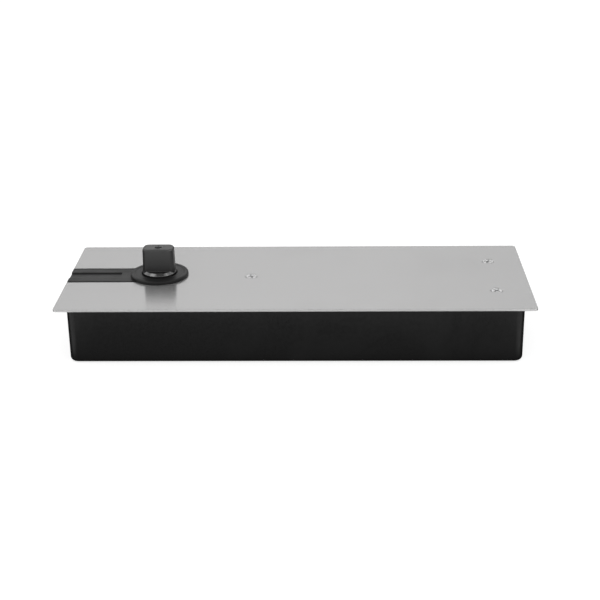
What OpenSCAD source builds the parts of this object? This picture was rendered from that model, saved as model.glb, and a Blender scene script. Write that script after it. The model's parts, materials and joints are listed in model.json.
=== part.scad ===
// Floor spring door closer: a shallow pressed-steel case let into the floor, a cast closer body
// bolted inside it, a cover plate level with the floor, and a spindle that carries the door.
//
// Millimetres, +Z up. The origin is the middle of the case's underside. X runs along the case,
// with the spindle near the -X end. At rest the door is closed.
//
// Mechanism: the spindle turns a heart cam. The cam pushes a roller towards -X. The roller sits
// in a yoke that pulls a rod, a crosshead and a piston the same way, which squeezes two closing
// springs. Oil slows the way back through two speed valves.

/* [Case] */
// Outside length of the case
case_length = 306; // [300:1:340]
// Outside width of the case
case_width = 108; // [106:1:124]
// Outside height of the case
case_height = 40; // [40:0.5:50]
// Thickness of the case's sheet steel
case_wall = 1.5; // [1:0.1:2]
// Radius of the case's upright corners
case_corner_r = 6; // [5:0.5:9]
// Radius of the edge round the case's underside
case_edge_r = 4; // [2.5:0.5:4.5]

/* [Cover plate] */
// How far the cover plate stands out past the case
plate_overhang = 7; // [3:0.5:14]
// Thickness of the cover plate
plate_thickness = 1.5; // [1.2:0.1:2]
// Radius of the cover plate's corners
plate_corner_r = 2.5; // [1:0.5:6]
// Diameter of the cover screws' shanks
cover_screw_d = 4; // [3:0.5:5]
// Diameter of the cover screws' countersunk heads
cover_screw_head_d = 8; // [7.5:0.5:9]
// Length of the cover screws
cover_screw_length = 7.5; // [6:0.5:8]
// From the case's +X end to the pair of cover screws
end_screw_inset = 16.5; // [12:0.5:18]
// Distance between the pair of cover screws
end_screw_spacing = 56; // [40:1:70]
// From the spindle's axis to the single cover screw
middle_screw_distance = 64.9; // [56:0.1:72]

/* [Spindle] */
// From the case's -X end to the spindle's axis
spindle_inset = 56.4; // [56:0.1:66]
// How far the spindle's axis stands behind the middle of the case
axis_offset = 3; // [0:0.5:4]
// Diameter of the spindle's neck
neck_d = 23.6; // [22:0.2:24]
// Height of the neck above the cover plate
neck_rise = 4.8; // [4:0.1:12]
// Chamfer at the top of the neck
neck_chamfer = 1.6; // [0.4:0.1:2.4]
// Length of the tapered block that carries the door arm, at its foot
block_length = 22.4; // [19:0.1:22.4]
// Width of the tapered block at its foot
block_width = 12.6; // [10:0.1:13]
// Height of the tapered block
block_rise = 16.1; // [10:0.1:30]
// How much narrower the block gets on each side, from its foot to its top edge
block_taper = 0.4; // [0.2:0.1:1]
// Radius of the block's upright edges
block_corner_r = 3.5; // [3:0.5:4.5]
// Chamfer round the top of the block, sideways at its ends
block_chamfer = 0.9; // [0.5:0.1:2.5]
// Diameter of the threaded hole for the arm screw
arm_hole_d = 5; // [4:0.1:6]
// Depth of the threaded hole for the arm screw
arm_hole_depth = 14; // [8:1:15]
// Diameter of the spindle where the cam sits
cam_seat_d = 20; // [19:0.5:21]
// Distance across the two flats that drive the cam
cam_seat_flats = 17; // [15:0.5:18]
// Diameter of the spindle's lower journal
journal_d = 16; // [12:0.5:17]

/* [Seal ring] */
// Outside diameter of the ring round the neck
ring_d = 40.5; // [38.5:0.5:46]
// Height of the ring above the cover plate
ring_rise = 2.5; // [1.5:0.1:4.5]
// Gap between the ring and the neck
ring_gap = 0.7; // [0.3:0.1:1.2]
// Diameter of the ring's spigot, which centres it in the cover plate
spigot_d = 35; // [33:0.5:36]
// Radius of the ring's outer top edge
ring_edge_r = 1.2; // [0.5:0.1:1.5]

/* [Slot insert] */
// Width of the slot insert
insert_width = 27.6; // [24.4:0.1:28]
// Width of the step along each long edge of the insert
insert_step = 1.3; // [0.8:0.1:2]
// Depth of that step
insert_step_depth = 0.5; // [0.2:0.1:0.8]
// Width of the insert's channel
channel_width = 10; // [6:0.5:14]
// Depth of the insert's channel
channel_depth = 1.1; // [0.6:0.1:1.1]
// From the end of the channel to the seal ring
channel_stop = 6.9; // [4:0.1:12]
// How far the insert's flange reaches under the cover plate on each side
insert_lip = 3; // [1.5:0.5:5]
// Thickness of the insert's flange
insert_lip_thickness = 1; // [0.8:0.1:1.1]

/* [Closer body] */
// Thickness of the body's side and end walls
body_wall = 8; // [7:0.5:9]
// Thickness of the body's floor
floor_thickness = 3.5; // [3:0.25:4]
// Gap under the body, taken up by the levelling screws
foot_gap = 1.5; // [1:0.25:2]
// Radius of the body's upright corners
body_corner_r = 7; // [4:0.5:9]
// Thickness of the lid
lid_thickness = 4; // [3.5:0.25:4.5]
// Thickness of the lid's gasket
gasket_thickness = 0.5; // [0.3:0.1:0.8]
// Room over the lid for the screw heads
head_room = 3.5; // [3.2:0.1:4.5]
// Diameter of the lid screws
lid_screw_d = 4; // [3:0.5:4.5]
// How far the lid screws reach into the body
lid_screw_grip = 8; // [6:0.5:10]
// Thickness of the bulkhead between the cam chamber and the spring chamber
bulkhead_thickness = 8; // [6:0.5:12]
// Length of the solid cylinder block at the +X end
cylinder_block_length = 62; // [60:0.5:70]
// Gap between the body and the cover bracket
end_gap = 3; // [2:0.5:5]

/* [Body fixings] */
// Diameter of the levelling screws
levelling_screw_d = 6; // [5:0.5:8]
// Diameter of the clamp bolts
clamp_bolt_d = 6; // [5:0.5:6]
// Radius of the lugs that hold the screws
lug_r = 6; // [5:0.25:6.5]
// Thickness of the lugs
lug_thickness = 8; // [5:0.5:10]
// Height of the clamp brackets' shelf above the case's floor
clamp_shelf = 6; // [5:0.5:8]
// Thickness of the brackets' steel
bracket_thickness = 2.5; // [2:0.1:3]
// Thickness of the washers under the clamp bolts
washer_thickness = 1.2; // [0.8:0.1:2]

/* [Cam and roller] */
// Opening angle, in degrees, at which the stop is reached
opening_angle = 130; // [90:5:130]
// How far the cam moves the roller at the full opening angle
cam_lift = 11.98; // [9:0.01:12]
// From the spindle's axis to the roller's axis when the door is closed
pitch_r = 19; // [18.5:0.1:19.5]
// Largest radius of the cam
cam_nose_r = 25.5; // [24:0.1:26]
// Thickness of the cam
cam_thickness = 8; // [7:0.1:9]
// Diameter of the roller
roller_d = 13; // [11:0.5:13]
// Diameter of the roller's pin
roller_pin_d = 6; // [5:0.1:7]
// Gap between the cam and the roller
cam_gap = 0.15; // [0.1:0.01:0.2]

/* [Yoke and rod] */
// Thickness of the yoke's two plates
yoke_thickness = 2.6; // [2:0.1:3]
// Width of the yoke's plates
yoke_width = 38; // [36:0.5:44]
// Length of the yoke block that joins the plates
yoke_block_length = 10; // [8:0.5:12]
// Diameter of the yoke's pins
yoke_pin_d = 5; // [4:0.1:6]
// Diameter of the pull rod
rod_d = 10; // [8:0.5:11]
// Thickness of the crosshead
crosshead_thickness = 8; // [6:0.5:10]
// Thickness of the nut behind the crosshead
rod_nut_thickness = 5; // [4:0.5:6]

/* [Closing springs] */
// Outside diameter of the closing springs
spring_od = 19; // [17:0.1:20.8]
// Diameter of the springs' wire
spring_wire_d = 3.8; // [2.5:0.1:4.2]
// Turns that work, in each closing spring
spring_turns = 9; // [6:0.5:10]
// Diameter of the rods that guide the springs
spring_guide_d = 9; // [6:0.5:11]

/* [Cylinder] */
// Diameter of the damping cylinder's bore
bore_d = 19; // [17:0.5:20.5]
// Length of the piston
piston_length = 26; // [25:0.5:28]
// Length of the piston's full-width part, behind which it is thinner
piston_land = 12; // [10:0.5:13]
// Diameter of the check valve's ball
check_ball_d = 4.8; // [4:0.1:5]
// How far the check ball lifts
check_lift = 1.2; // [0.6:0.1:1.5]
// Diameter of the end plug
plug_d = 21.5; // [21:0.5:23]
// Length of the end plug
plug_length = 12; // [10:0.5:14]

/* [Speed valves] */
// Diameter of the speed valves
valve_d = 8; // [7:0.5:9]
// From the cylinder block's inner end to the speed valves
valve_inset = 40; // [36:0.5:42]
// Distance between the two speed valves
valve_spacing = 34; // [33:0.5:38]
// Diameter of the oil ports
port_d = 3; // [2:0.1:3.5]

/* [Fits] */
// Radial clearance of a shaft that turns or slides in a bore
running_gap = 0.05; // [0.02:0.01:0.1]
// Clearance of a piece seated in another
seat_gap = 0.02; // [0.01:0.01:0.05]
// Gap between faces that move past each other
side_gap = 0.4; // [0.3:0.05:0.5]

/* [Hidden] */

$fn = 64;
cut = 1;             // how far a cut runs past the face that it opens
front = -1;          // the side towards -Y
rear = 1;            // the side towards +Y

// ---- Levels, from the floor of the case upwards ----
case_floor_z = case_wall;
body_bottom_z = case_floor_z + foot_gap;
chamber_floor_z = body_bottom_z + floor_thickness;
pocket_web = 1;
thrust_thickness = 1;
pocket_z = body_bottom_z + pocket_web;
journal_z = pocket_z + thrust_thickness;
lower_bush_length = 4;
lower_boss_z = journal_z + lower_bush_length;
lower_yoke_z = lower_boss_z + side_gap;
retainer_thickness = 1.2;
retainer_z = lower_yoke_z + yoke_thickness + side_gap;
cam_z = retainer_z + retainer_thickness;
cam_top_z = cam_z + cam_thickness;
upper_yoke_z = cam_top_z + side_gap;
upper_yoke_top_z = upper_yoke_z + yoke_thickness;
mid_z = (lower_yoke_z + upper_yoke_top_z) / 2;  // the height of the rod, springs and bore
lid_boss_z = upper_yoke_top_z + 2 * side_gap;

// ---- Levels, from the cover plate downwards ----
plate_z = case_height;
plate_top_z = plate_z + plate_thickness;
neck_top_z = plate_top_z + neck_rise;
spindle_top_z = neck_top_z + block_rise;
lid_top_z = plate_z - head_room;
lid_z = lid_top_z - lid_thickness;
body_top_z = lid_z - gasket_thickness;
post_gap = 0.5;      // between the cover plate and the posts that its screws go into
cover_post_wall = 3; // of those posts
post_z = plate_z - post_gap;
collar_z = plate_z - 2 * post_gap;

// ---- Rise of the cam ----
lift_per_degree = cam_lift / opening_angle;
lift_per_radian = lift_per_degree * 180 / PI;

// ---- Places along X ----
inner_half_length = case_length / 2 - case_wall;
inner_half_width = case_width / 2 - case_wall;
lug_gap = 0.5;       // between the body's lugs and the case
nose_gap = 0.5;      // between the cam's nose and the chamber's walls
cam_room = cam_nose_r + nose_gap + body_wall + 2 * lug_r + lug_gap;
axis_y = min(axis_offset, inner_half_width - cam_room);  // less in a narrow case
half_room = inner_half_width - axis_y;
spindle_x = spindle_inset - case_length / 2;
roller_x = spindle_x - pitch_r;
yoke_end_wall = 3;   // round the roller's pin
yoke_end_r = roller_pin_d / 2 + yoke_end_wall;
chamber_left_x = roller_x - cam_lift - max(roller_d / 2, yoke_end_r) - 2 * side_gap;
body_left_x = chamber_left_x - body_wall;
nose_reach = (pitch_radius(180) - roller_d / 2) * 1.06;  // the farthest the cam's nose can reach
yoke_block_x = spindle_x + nose_reach + side_gap;
yoke_right_x = yoke_block_x + yoke_block_length;
yoke_play = 2;       // between the yoke and the bulkhead when the door is closed
chamber_right_x = yoke_right_x + yoke_play;
spring_left_x = chamber_right_x + bulkhead_thickness;
bracket_reach = 8;   // from the cover screws to the cover bracket's edges
bracket_left_x = case_length / 2 - end_screw_inset - bracket_reach;
body_right_x = bracket_left_x - end_gap;
cylinder_x = body_right_x - cylinder_block_length;
piston_start = 4;    // from the bore's mouth to the piston when the door is closed
piston_x = cylinder_x + piston_start;
rod_nut_gap = 3;
rod_nut_x = piston_x - rod_nut_thickness - rod_nut_gap;
crosshead_x = rod_nut_x - crosshead_thickness;
spring_length = crosshead_x - spring_left_x;
plug_x = body_right_x - plug_length;
plug_ring_cord = 1.75;
plug_ring_x = plug_x + 0.26 * plug_length;
valve_x = cylinder_x + valve_inset;
valve_tip_z = mid_z - 5;
valve_ring_z = mid_z + 5;
valve_ring_cord = 1.25;
middle_screw_x = spindle_x + middle_screw_distance;
end_screw_x = case_length / 2 - end_screw_inset;
ring_left_x = spindle_x - ring_d / 2;

// ---- Check valve in the piston, along X ----
check_seat_r = 1.5;
check_pocket_r = check_ball_d / 2 + 0.8;
check_retainer_thickness = 1;
check_retainer_inset = 0.8;
check_retainer_x = piston_x + piston_length - check_retainer_thickness - check_retainer_inset;
check_ball_x = check_retainer_x - check_lift - check_ball_d / 2 - 0.15;
// the seat is a cone at 45 degrees, which the ball's side touches
check_seat_x = check_ball_x + check_seat_r - (check_ball_d / 2 + 0.05) * sqrt(2);
piston_land_x = piston_x + piston_length - piston_land;
piston_seal_width = 2.4;
piston_seal_depth = 1.5;
piston_seal_x = piston_land_x + piston_land / 3;

// ---- Other derived sizes ----
plate_length = case_length + 2 * plate_overhang;
plate_width = case_width + 2 * plate_overhang;
body_width = 2 * (half_room - 2 * lug_r - lug_gap);
chamber_width = body_width - 2 * body_wall;
spring_gap = 0.4;    // between the springs and the side walls
spring_spacing = chamber_width - spring_od - 2 * spring_gap;
bush_wall = 2;
boss_wall = 4;       // of the bosses round the spindle's two bushes
upper_bush_od = neck_d + 2 * bush_wall;
lower_bush_od = journal_d + 2 * bush_wall;
rod_bush_od = rod_d + 2 * bush_wall;
lip_seal_width = 5.2;
lip_seal_height = 4.5;
lip_seal_od = neck_d + 2 * lip_seal_width;
collar_wall = 2;
lid_collar_d = lip_seal_od + 2 * collar_wall;
yoke_slot_clearance = 1;
piston_gap = 0.04;
piston_r = bore_d / 2 - piston_gap;
thread_step = 1;     // how much smaller the rods' screwed ends are, in radius
rod_end_d = rod_d - 2 * thread_step;
rod_end_reach = 10;  // how far the rod's end goes into the piston
spring_mean_r = (spring_od - spring_wire_d) / 2;
guide_root_d = spring_guide_d - 2 * thread_step;
guide_root_x = spring_left_x - 0.6 * bulkhead_thickness;
lug_y = body_width / 2 + lug_r;
lug_z = case_floor_z + clamp_shelf + bracket_thickness;
lug_top_z = lug_z + lug_thickness;
levelling_inset = 22;
levelling_x = [body_left_x + levelling_inset, body_right_x - levelling_inset];
clamp_x = (body_left_x + body_right_x) / 2;
clamp_slot = 3;      // how far the body can be shifted under its clamp bolts
clamp_hole_d = clamp_bolt_d + 0.8;
lid_overlap = 10;    // of the lid over the cylinder block
lid_right_x = cylinder_x + lid_overlap;
oil_plug_d = 6;
oil_plug_inset = 24; // from the cylinder block to the oil plug
oil_plug_x = cylinder_x - oil_plug_inset;
lid_screw_head_d = 7;
lid_screw_head_height = 2.2;

// ---- Shapes used by several sub-parts ----

// A flat rectangle with round corners, centred
module rounded_rect(length, width, r) {
    square([length - 2 * r, width], center = true);
    square([length, width - 2 * r], center = true);
    for (x = [-1, 1], y = [-1, 1])
        translate([x * (length / 2 - r), y * (width / 2 - r)]) circle(r);
}

// A rectangle from x0 to x1 with round corners, centred across
module rounded_span(x0, x1, width, r) {
    translate([(x0 + x1) / 2, 0]) rounded_rect(x1 - x0, width, r);
}

// Half of a pressed box's section: an upright strip whose lower outer edge is round
module pressed_edge(reach, height, edge_r) {
    square([reach - edge_r, height]);
    translate([0, edge_r]) square([reach, height - edge_r]);
    translate([reach - edge_r, edge_r]) circle(edge_r);
}

// A pressed box: round upright corners, and a round edge below
module pressed_box(length, width, height, corner_r, edge_r) {
    straight_x = length - 2 * corner_r;
    straight_y = width - 2 * corner_r;
    for (side = [0, 180]) rotate([0, 0, side]) {
        rotate([90, 0, 0]) linear_extrude(straight_y, center = true)
            intersection() {
                pressed_edge(length / 2, height, edge_r);
                square([length, height]);
            }
        rotate([90, 0, 90]) linear_extrude(straight_x, center = true)
            intersection() {
                pressed_edge(width / 2, height, edge_r);
                square([width, height]);
            }
    }
    for (x = [-1, 1], y = [-1, 1])
        translate([x * straight_x / 2, y * straight_y / 2, 0])
            rotate_extrude()
                intersection() {
                    pressed_edge(corner_r, height, edge_r);
                    square([corner_r, height]);
                }
}

// Moves what it holds from the case's middle to the spindle's axis, behind it
module on_axis() {
    translate([0, axis_y, 0]) children();
}

// A round rod or hole along X, from x0 to x1
module along_x(x0, x1, d, y = 0, z = mid_z) {
    translate([x0, y, z]) rotate([0, 90, 0]) cylinder(d = d, h = x1 - x0);
}

// A round rod or hole from z0 to z1
module upright(x, y, z0, z1, d) {
    translate([x, y, z0]) cylinder(d = d, h = z1 - z0);
}

// A hexagonal prism along Z
module hex_prism(across_flats, height) {
    cylinder(d = across_flats / cos(30), h = height, $fn = 6);
}

// A round ring about Z, cut off square
module washer(outer_d, inner_d, height) {
    difference() {
        cylinder(d = outer_d, h = height);
        translate([0, 0, -cut]) cylinder(d = inner_d, h = height + 2 * cut);
    }
}

// An O-ring about Z
module o_ring(mean_d, cord_d) {
    rotate_extrude() translate([mean_d / 2, 0]) circle(d = cord_d, $fn = 24);
}

// ---- Case and cover ----

module cement_case() {
    color("#17181a") difference() {
        pressed_box(case_length, case_width, case_height, case_corner_r, case_edge_r);
        translate([0, 0, case_wall])
            pressed_box(case_length - 2 * case_wall, case_width - 2 * case_wall,
                        case_height, case_corner_r - case_wall, case_edge_r - case_wall);
    }
}

// Two hat-shaped brackets welded to the case's floor, which the clamp bolts screw into
module clamp_brackets() {
    leg_gap = 1;  // between the lugs and the legs, seen from above
    half_span = lug_r + leg_gap + bracket_thickness;
    foot = 2 * bracket_thickness;
    near_y = body_width / 2 + lug_gap;
    shelf_depth = half_room - lug_gap - near_y;
    leg_depth = shelf_depth - (case_edge_r - case_wall);
    color("#2a2b2d") on_axis() for (side = [0, 180])
        translate([clamp_x, 0, case_floor_z]) rotate([0, 0, side]) difference() {
            union() {
                translate([-half_span, near_y, clamp_shelf])
                    cube([2 * half_span, shelf_depth, bracket_thickness]);
                for (end = [-1, 1]) {
                    translate([end * (half_span - bracket_thickness / 2), near_y + leg_depth / 2,
                               (clamp_shelf + 0.1) / 2])
                        cube([bracket_thickness, leg_depth, clamp_shelf + 0.1], center = true);
                    translate([end * (half_span + foot / 2 - 0.1), near_y + leg_depth / 2,
                               bracket_thickness / 2])
                        cube([foot, leg_depth, bracket_thickness], center = true);
                }
            }
            upright(0, lug_y, -cut, clamp_shelf + bracket_thickness + cut,
                    clamp_bolt_d + 2 * seat_gap);
        }
}

// An angle welded to the case's +X end, which takes the pair of cover screws
module cover_bracket() {
    half_width = end_screw_spacing / 2 + bracket_reach;
    right_x = inner_half_length - seat_gap;
    color("#2a2b2d") difference() {
        union() {
            translate([bracket_left_x, -half_width, post_z - bracket_thickness])
                cube([right_x - bracket_left_x, 2 * half_width, bracket_thickness]);
            translate([right_x - bracket_thickness, -half_width, case_height / 2])
                cube([bracket_thickness, 2 * half_width, post_z - case_height / 2]);
            for (side = [front, rear])
                upright(end_screw_x, side * end_screw_spacing / 2,
                        plate_top_z - cover_screw_length + cut, post_z,
                        cover_screw_d + 2 * cover_post_wall);
        }
        cover_screw_spaces();
    }
}

function cover_screw_places() = [
    [middle_screw_x, 0],
    [end_screw_x, front * end_screw_spacing / 2],
    [end_screw_x, rear * end_screw_spacing / 2],
];

// What the cover screws need: a sunk cone for the head, and room for the shank
module cover_screw_spaces() {
    head_r = cover_screw_head_d / 2 + running_gap;
    shank_r = cover_screw_d / 2 + seat_gap;
    cone = head_r - shank_r;
    for (place = cover_screw_places()) translate([place.x, place.y, plate_top_z]) {
        translate([0, 0, -cone]) cylinder(r1 = shank_r, r2 = head_r, h = cone);
        translate([0, 0, -cover_screw_length - post_gap])
            cylinder(r = shank_r, h = cover_screw_length + post_gap - cone / 2);
        cylinder(r = head_r, h = cut);
    }
}

module cover_plate() {
    slot_width = insert_width + 2 * seat_gap;
    color("#b9b9b7") difference() {
        translate([0, 0, plate_z]) linear_extrude(plate_thickness) difference() {
            rounded_rect(plate_length, plate_width, plate_corner_r);
            translate([spindle_x, axis_y]) circle(d = spigot_d + 2 * running_gap);
            translate([-plate_length / 2 - cut, axis_y - slot_width / 2])
                square([plate_length / 2 + spindle_x + cut, slot_width]);
        }
        cover_screw_spaces();
    }
}

// Countersunk screws with a cross recess
module cover_screws() {
    head_r = cover_screw_head_d / 2;
    shank_r = cover_screw_d / 2;
    cone = head_r - shank_r;
    recess_length = cover_screw_head_d * 0.56;
    recess_width = 0.9;
    recess_depth = 1.1;
    color("#c9c9c6") for (place = cover_screw_places())
        translate([place.x, place.y, plate_top_z]) difference() {
            union() {
                translate([0, 0, -cone]) cylinder(r1 = shank_r, r2 = head_r, h = cone);
                translate([0, 0, -cover_screw_length])
                    cylinder(r = shank_r, h = cover_screw_length - cone + 0.01);
            }
            for (turn = [45, 135]) rotate([0, 0, turn])
                translate([-recess_length / 2, -recess_width / 2, -recess_depth])
                    cube([recess_length, recess_width, recess_depth + cut]);
        }
}

// The strip that fills the cover plate's slot, with a channel along it
module slot_insert() {
    left_x = -plate_length / 2;
    right_x = spindle_x;
    inner_left_x = -inner_half_length + 0.5;
    step_y = insert_width / 2 - insert_step;
    color("#3a3a3c") on_axis() difference() {
        union() {
            translate([left_x, -insert_width / 2, plate_z])
                cube([right_x - left_x, insert_width, plate_thickness]);
            translate([inner_left_x, -insert_width / 2 - insert_lip,
                       plate_z - insert_lip_thickness])
                cube([right_x - inner_left_x, insert_width + 2 * insert_lip,
                      insert_lip_thickness]);
        }
        upright(spindle_x, 0, plate_z - cut, plate_top_z + cut, spigot_d + 4 * running_gap);
        upright(spindle_x, 0, plate_z - insert_lip_thickness - cut, plate_z,
                lid_collar_d + 2 * running_gap + 1);
        translate([left_x - cut, -channel_width / 2, plate_top_z - channel_depth])
            cube([ring_left_x - channel_stop - left_x + cut, channel_width,
                  channel_depth + cut]);
        for (side = [0, 1]) mirror([0, side, 0])
            translate([left_x - cut, step_y, plate_top_z - insert_step_depth])
                cube([right_x - left_x + 2 * cut, insert_step + cut, insert_step_depth + cut]);
    }
}

// The ring round the spindle's neck: a flange on the cover plate and a spigot through it
module spindle_ring() {
    bore_r = neck_d / 2 + ring_gap;
    outer_r = ring_d / 2;
    inner_edge_r = 0.6;
    color("#2c2c2e") on_axis() translate([spindle_x, 0, plate_top_z]) rotate_extrude()
        difference() {
            union() {
                translate([bore_r, -plate_thickness])
                    square([spigot_d / 2 - bore_r, plate_thickness]);
                translate([bore_r + inner_edge_r, 0])
                    square([outer_r - ring_edge_r - bore_r - inner_edge_r, ring_rise]);
                translate([bore_r, 0])
                    square([outer_r - bore_r, ring_rise - ring_edge_r]);
                translate([bore_r, 0]) square([4, ring_rise - inner_edge_r]);
                translate([outer_r - ring_edge_r, ring_rise - ring_edge_r])
                    circle(ring_edge_r);
                translate([bore_r + inner_edge_r, ring_rise - inner_edge_r])
                    circle(inner_edge_r);
            }
            translate([outer_r - 5, ring_rise]) circle(d = 0.8, $fn = 24);
        }
}

// ---- Closer body ----

module body_outline(x0, x1) {
    rounded_span(x0, x1, body_width, body_corner_r);
}

module cam_chamber_outline() {
    rounded_span(chamber_left_x, chamber_right_x, chamber_width, body_corner_r - 2);
}

module spring_chamber_outline() {
    rounded_span(spring_left_x, cylinder_x, chamber_width, 3);
}

module closer_body() {
    block_top = body_top_z;
    color("#5b5d5e") on_axis() difference() {
        union() {
            translate([0, 0, body_bottom_z])
                linear_extrude(block_top - body_bottom_z)
                    body_outline(body_left_x, body_right_x);
            for (side = [front, rear]) {
                for (x = levelling_x) body_lug(x, side);
                body_lug(clamp_x, side);
            }
        }
        difference() {
            translate([0, 0, chamber_floor_z])
                linear_extrude(block_top - chamber_floor_z + cut) {
                    cam_chamber_outline();
                    spring_chamber_outline();
                }
            upright(spindle_x, 0, body_bottom_z, lower_boss_z,
                    lower_bush_od + 2 * boss_wall);
        }
        // pocket of the lower bush
        upright(spindle_x, 0, pocket_z, block_top, lower_bush_od + 2 * seat_gap);
        // hole of the rod bush
        along_x(chamber_right_x - cut, spring_left_x + cut, rod_bush_od + 2 * seat_gap);
        // seats of the spring guides
        for (side = [front, rear])
            along_x(guide_root_x, spring_left_x + cut, guide_root_d + 2 * seat_gap,
                    side * spring_spacing / 2);
        // damping cylinder and the thread of its plug
        along_x(cylinder_x - cut, plug_x + cut, bore_d);
        along_x(plug_x, body_right_x + cut, plug_d + 2 * seat_gap);
        // valves and their oil ports
        for (side = [front, rear]) {
            upright(valve_x, side * valve_spacing / 2, valve_tip_z - cut, block_top + cut,
                    valve_d + 2 * running_gap);
            translate([valve_x, 0, mid_z]) rotate([-90 * side, 0, 0])
                cylinder(d = port_d, h = valve_spacing / 2);
            along_x(cylinder_x - cut, valve_x, port_d, side * valve_spacing / 2,
                    valve_tip_z + port_d / 2);
        }
        // levelling and clamp screws
        for (side = [front, rear]) {
            for (x = levelling_x)
                upright(x, side * lug_y, lug_z - cut, lug_top_z + cut,
                        levelling_screw_d + 2 * seat_gap);
            for (end = [-1, 1])
                upright(clamp_x + end * clamp_slot / 2, side * lug_y, lug_z - cut,
                        lug_top_z + cut, clamp_hole_d);
            translate([clamp_x - clamp_slot / 2, side * lug_y - clamp_hole_d / 2, lug_z - cut])
                cube([clamp_slot, clamp_hole_d, lug_thickness + 2 * cut]);
        }
        // lid screws
        for (place = lid_screw_places())
            upright(place.x, place.y, body_top_z - lid_screw_grip - cut, block_top + cut,
                    lid_screw_d + 2 * seat_gap);
    }
}

module body_lug(x, side) {
    translate([x, 0, lug_z]) linear_extrude(lug_thickness) {
        translate([0, side * lug_y]) circle(lug_r);
        translate([-lug_r, side > 0 ? body_width / 2 - 1 : -lug_y])
            square([2 * lug_r, lug_r + 1]);
    }
}

function lid_screw_places() = concat(
    [for (x = [spindle_x - ring_d * 0.7, spindle_x + ring_d * 0.5,
               (chamber_right_x + spring_left_x) / 2, (spring_left_x + cylinder_x) / 2,
               cylinder_x - body_wall],
          side = [front, rear])
        [x, side * (body_width - body_wall) / 2]],
    [for (side = [front, rear]) [body_left_x + body_wall / 2, side * chamber_width * 0.38]]
);

// The lid closes the two chambers. Its boss holds the upper bush and its collar the lip seal.
module body_lid() {
    color("#6b6d6e") on_axis() difference() {
        union() {
            translate([0, 0, lid_z]) linear_extrude(lid_thickness)
                body_outline(body_left_x, lid_right_x);
            upright(spindle_x, 0, lid_boss_z, lid_z + 0.1, upper_bush_od + 2 * boss_wall);
            upright(spindle_x, 0, lid_top_z - 0.1, collar_z, lid_collar_d);
            upright(middle_screw_x, -axis_y, lid_top_z - 0.1, post_z,
                    cover_screw_d + 2 * cover_post_wall);
        }
        upright(spindle_x, 0, lid_boss_z - cut, collar_z - lip_seal_height + 0.01,
                upper_bush_od + 2 * seat_gap);
        upright(spindle_x, 0, collar_z - lip_seal_height, collar_z + cut,
                lip_seal_od + 2 * seat_gap);
        translate([0, -axis_y, 0]) cover_screw_spaces();
        upright(oil_plug_x, 0, lid_z - cut, lid_top_z + cut, oil_plug_d + 2 * seat_gap);
        for (place = lid_screw_places())
            upright(place.x, place.y, lid_z - cut, lid_top_z + cut,
                    lid_screw_d + 2 * seat_gap);
    }
}

module lid_gasket() {
    color("#7a5f45") on_axis() translate([0, 0, body_top_z]) linear_extrude(gasket_thickness)
        difference() {
            body_outline(body_left_x, lid_right_x);
            cam_chamber_outline();
            spring_chamber_outline();
            for (place = lid_screw_places())
                translate(place) circle(d = lid_screw_d + 2 * seat_gap);
        }
}

module lid_screws() {
    socket_af = lid_screw_head_d * 0.43;
    color("#8d8f90") on_axis() for (place = lid_screw_places())
        translate([place.x, place.y, lid_top_z]) difference() {
            union() {
                cylinder(d = lid_screw_head_d, h = lid_screw_head_height);
                translate([0, 0, body_top_z - lid_screw_grip - lid_top_z])
                    cylinder(d = lid_screw_d, h = lid_top_z - body_top_z + lid_screw_grip + 0.1);
            }
            translate([0, 0, lid_screw_head_height - 1.5]) hex_prism(socket_af, 1.5 + cut);
        }
}

module oil_plug() {
    head_d = oil_plug_d + 4;
    color("#a8a9aa") on_axis() translate([oil_plug_x, 0, lid_top_z]) difference() {
        union() {
            cylinder(d = head_d, h = lid_screw_head_height);
            translate([0, 0, -lid_thickness]) cylinder(d = oil_plug_d, h = lid_thickness + 0.1);
        }
        translate([0, 0, lid_screw_head_height / 2]) hex_prism(oil_plug_d * 0.67, 1.4 + cut);
    }
}

module levelling_screws() {
    color("#8d8f90") on_axis() for (side = [front, rear], x = levelling_x)
        translate([x, side * lug_y, case_floor_z]) difference() {
            union() {
                cylinder(d1 = levelling_screw_d - 2, d2 = levelling_screw_d, h = 1);
                translate([0, 0, 1])
                    cylinder(d = levelling_screw_d, h = lug_top_z - case_floor_z + 1);
            }
            translate([-levelling_screw_d, -0.5, lug_top_z - case_floor_z + 0.5])
                cube([2 * levelling_screw_d, 1, 3]);
        }
}

module clamp_bolts() {
    head_height = 4;
    head_af = clamp_bolt_d + 3.5;
    color("#8d8f90") on_axis() for (side = [front, rear])
        translate([clamp_x, side * lug_y, lug_top_z + washer_thickness]) {
            hex_prism(head_af, head_height);
            translate([0, 0, case_floor_z + 1 - lug_top_z - washer_thickness])
                cylinder(d = clamp_bolt_d,
                         h = lug_top_z + washer_thickness - case_floor_z - 1 + 0.1);
        }
}

module clamp_washers() {
    color("#a8a9aa") on_axis() for (side = [front, rear])
        translate([clamp_x, side * lug_y, lug_top_z])
            washer(2 * lug_r - 0.5, clamp_bolt_d + 0.4, washer_thickness);
}

// ---- Spindle bearings and seal ----

module upper_bush() {
    color("#a9803c") on_axis() translate([spindle_x, 0, lid_boss_z])
        washer(upper_bush_od, neck_d + 2 * running_gap, collar_z - lip_seal_height - lid_boss_z);
}

module lower_bush() {
    color("#a9803c") on_axis() translate([spindle_x, 0, journal_z])
        washer(lower_bush_od, journal_d + 2 * running_gap, lower_bush_length);
}

module thrust_washer() {
    color("#b9b9b7") on_axis() translate([spindle_x, 0, pocket_z])
        cylinder(d = lower_bush_od, h = thrust_thickness);
}

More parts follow.
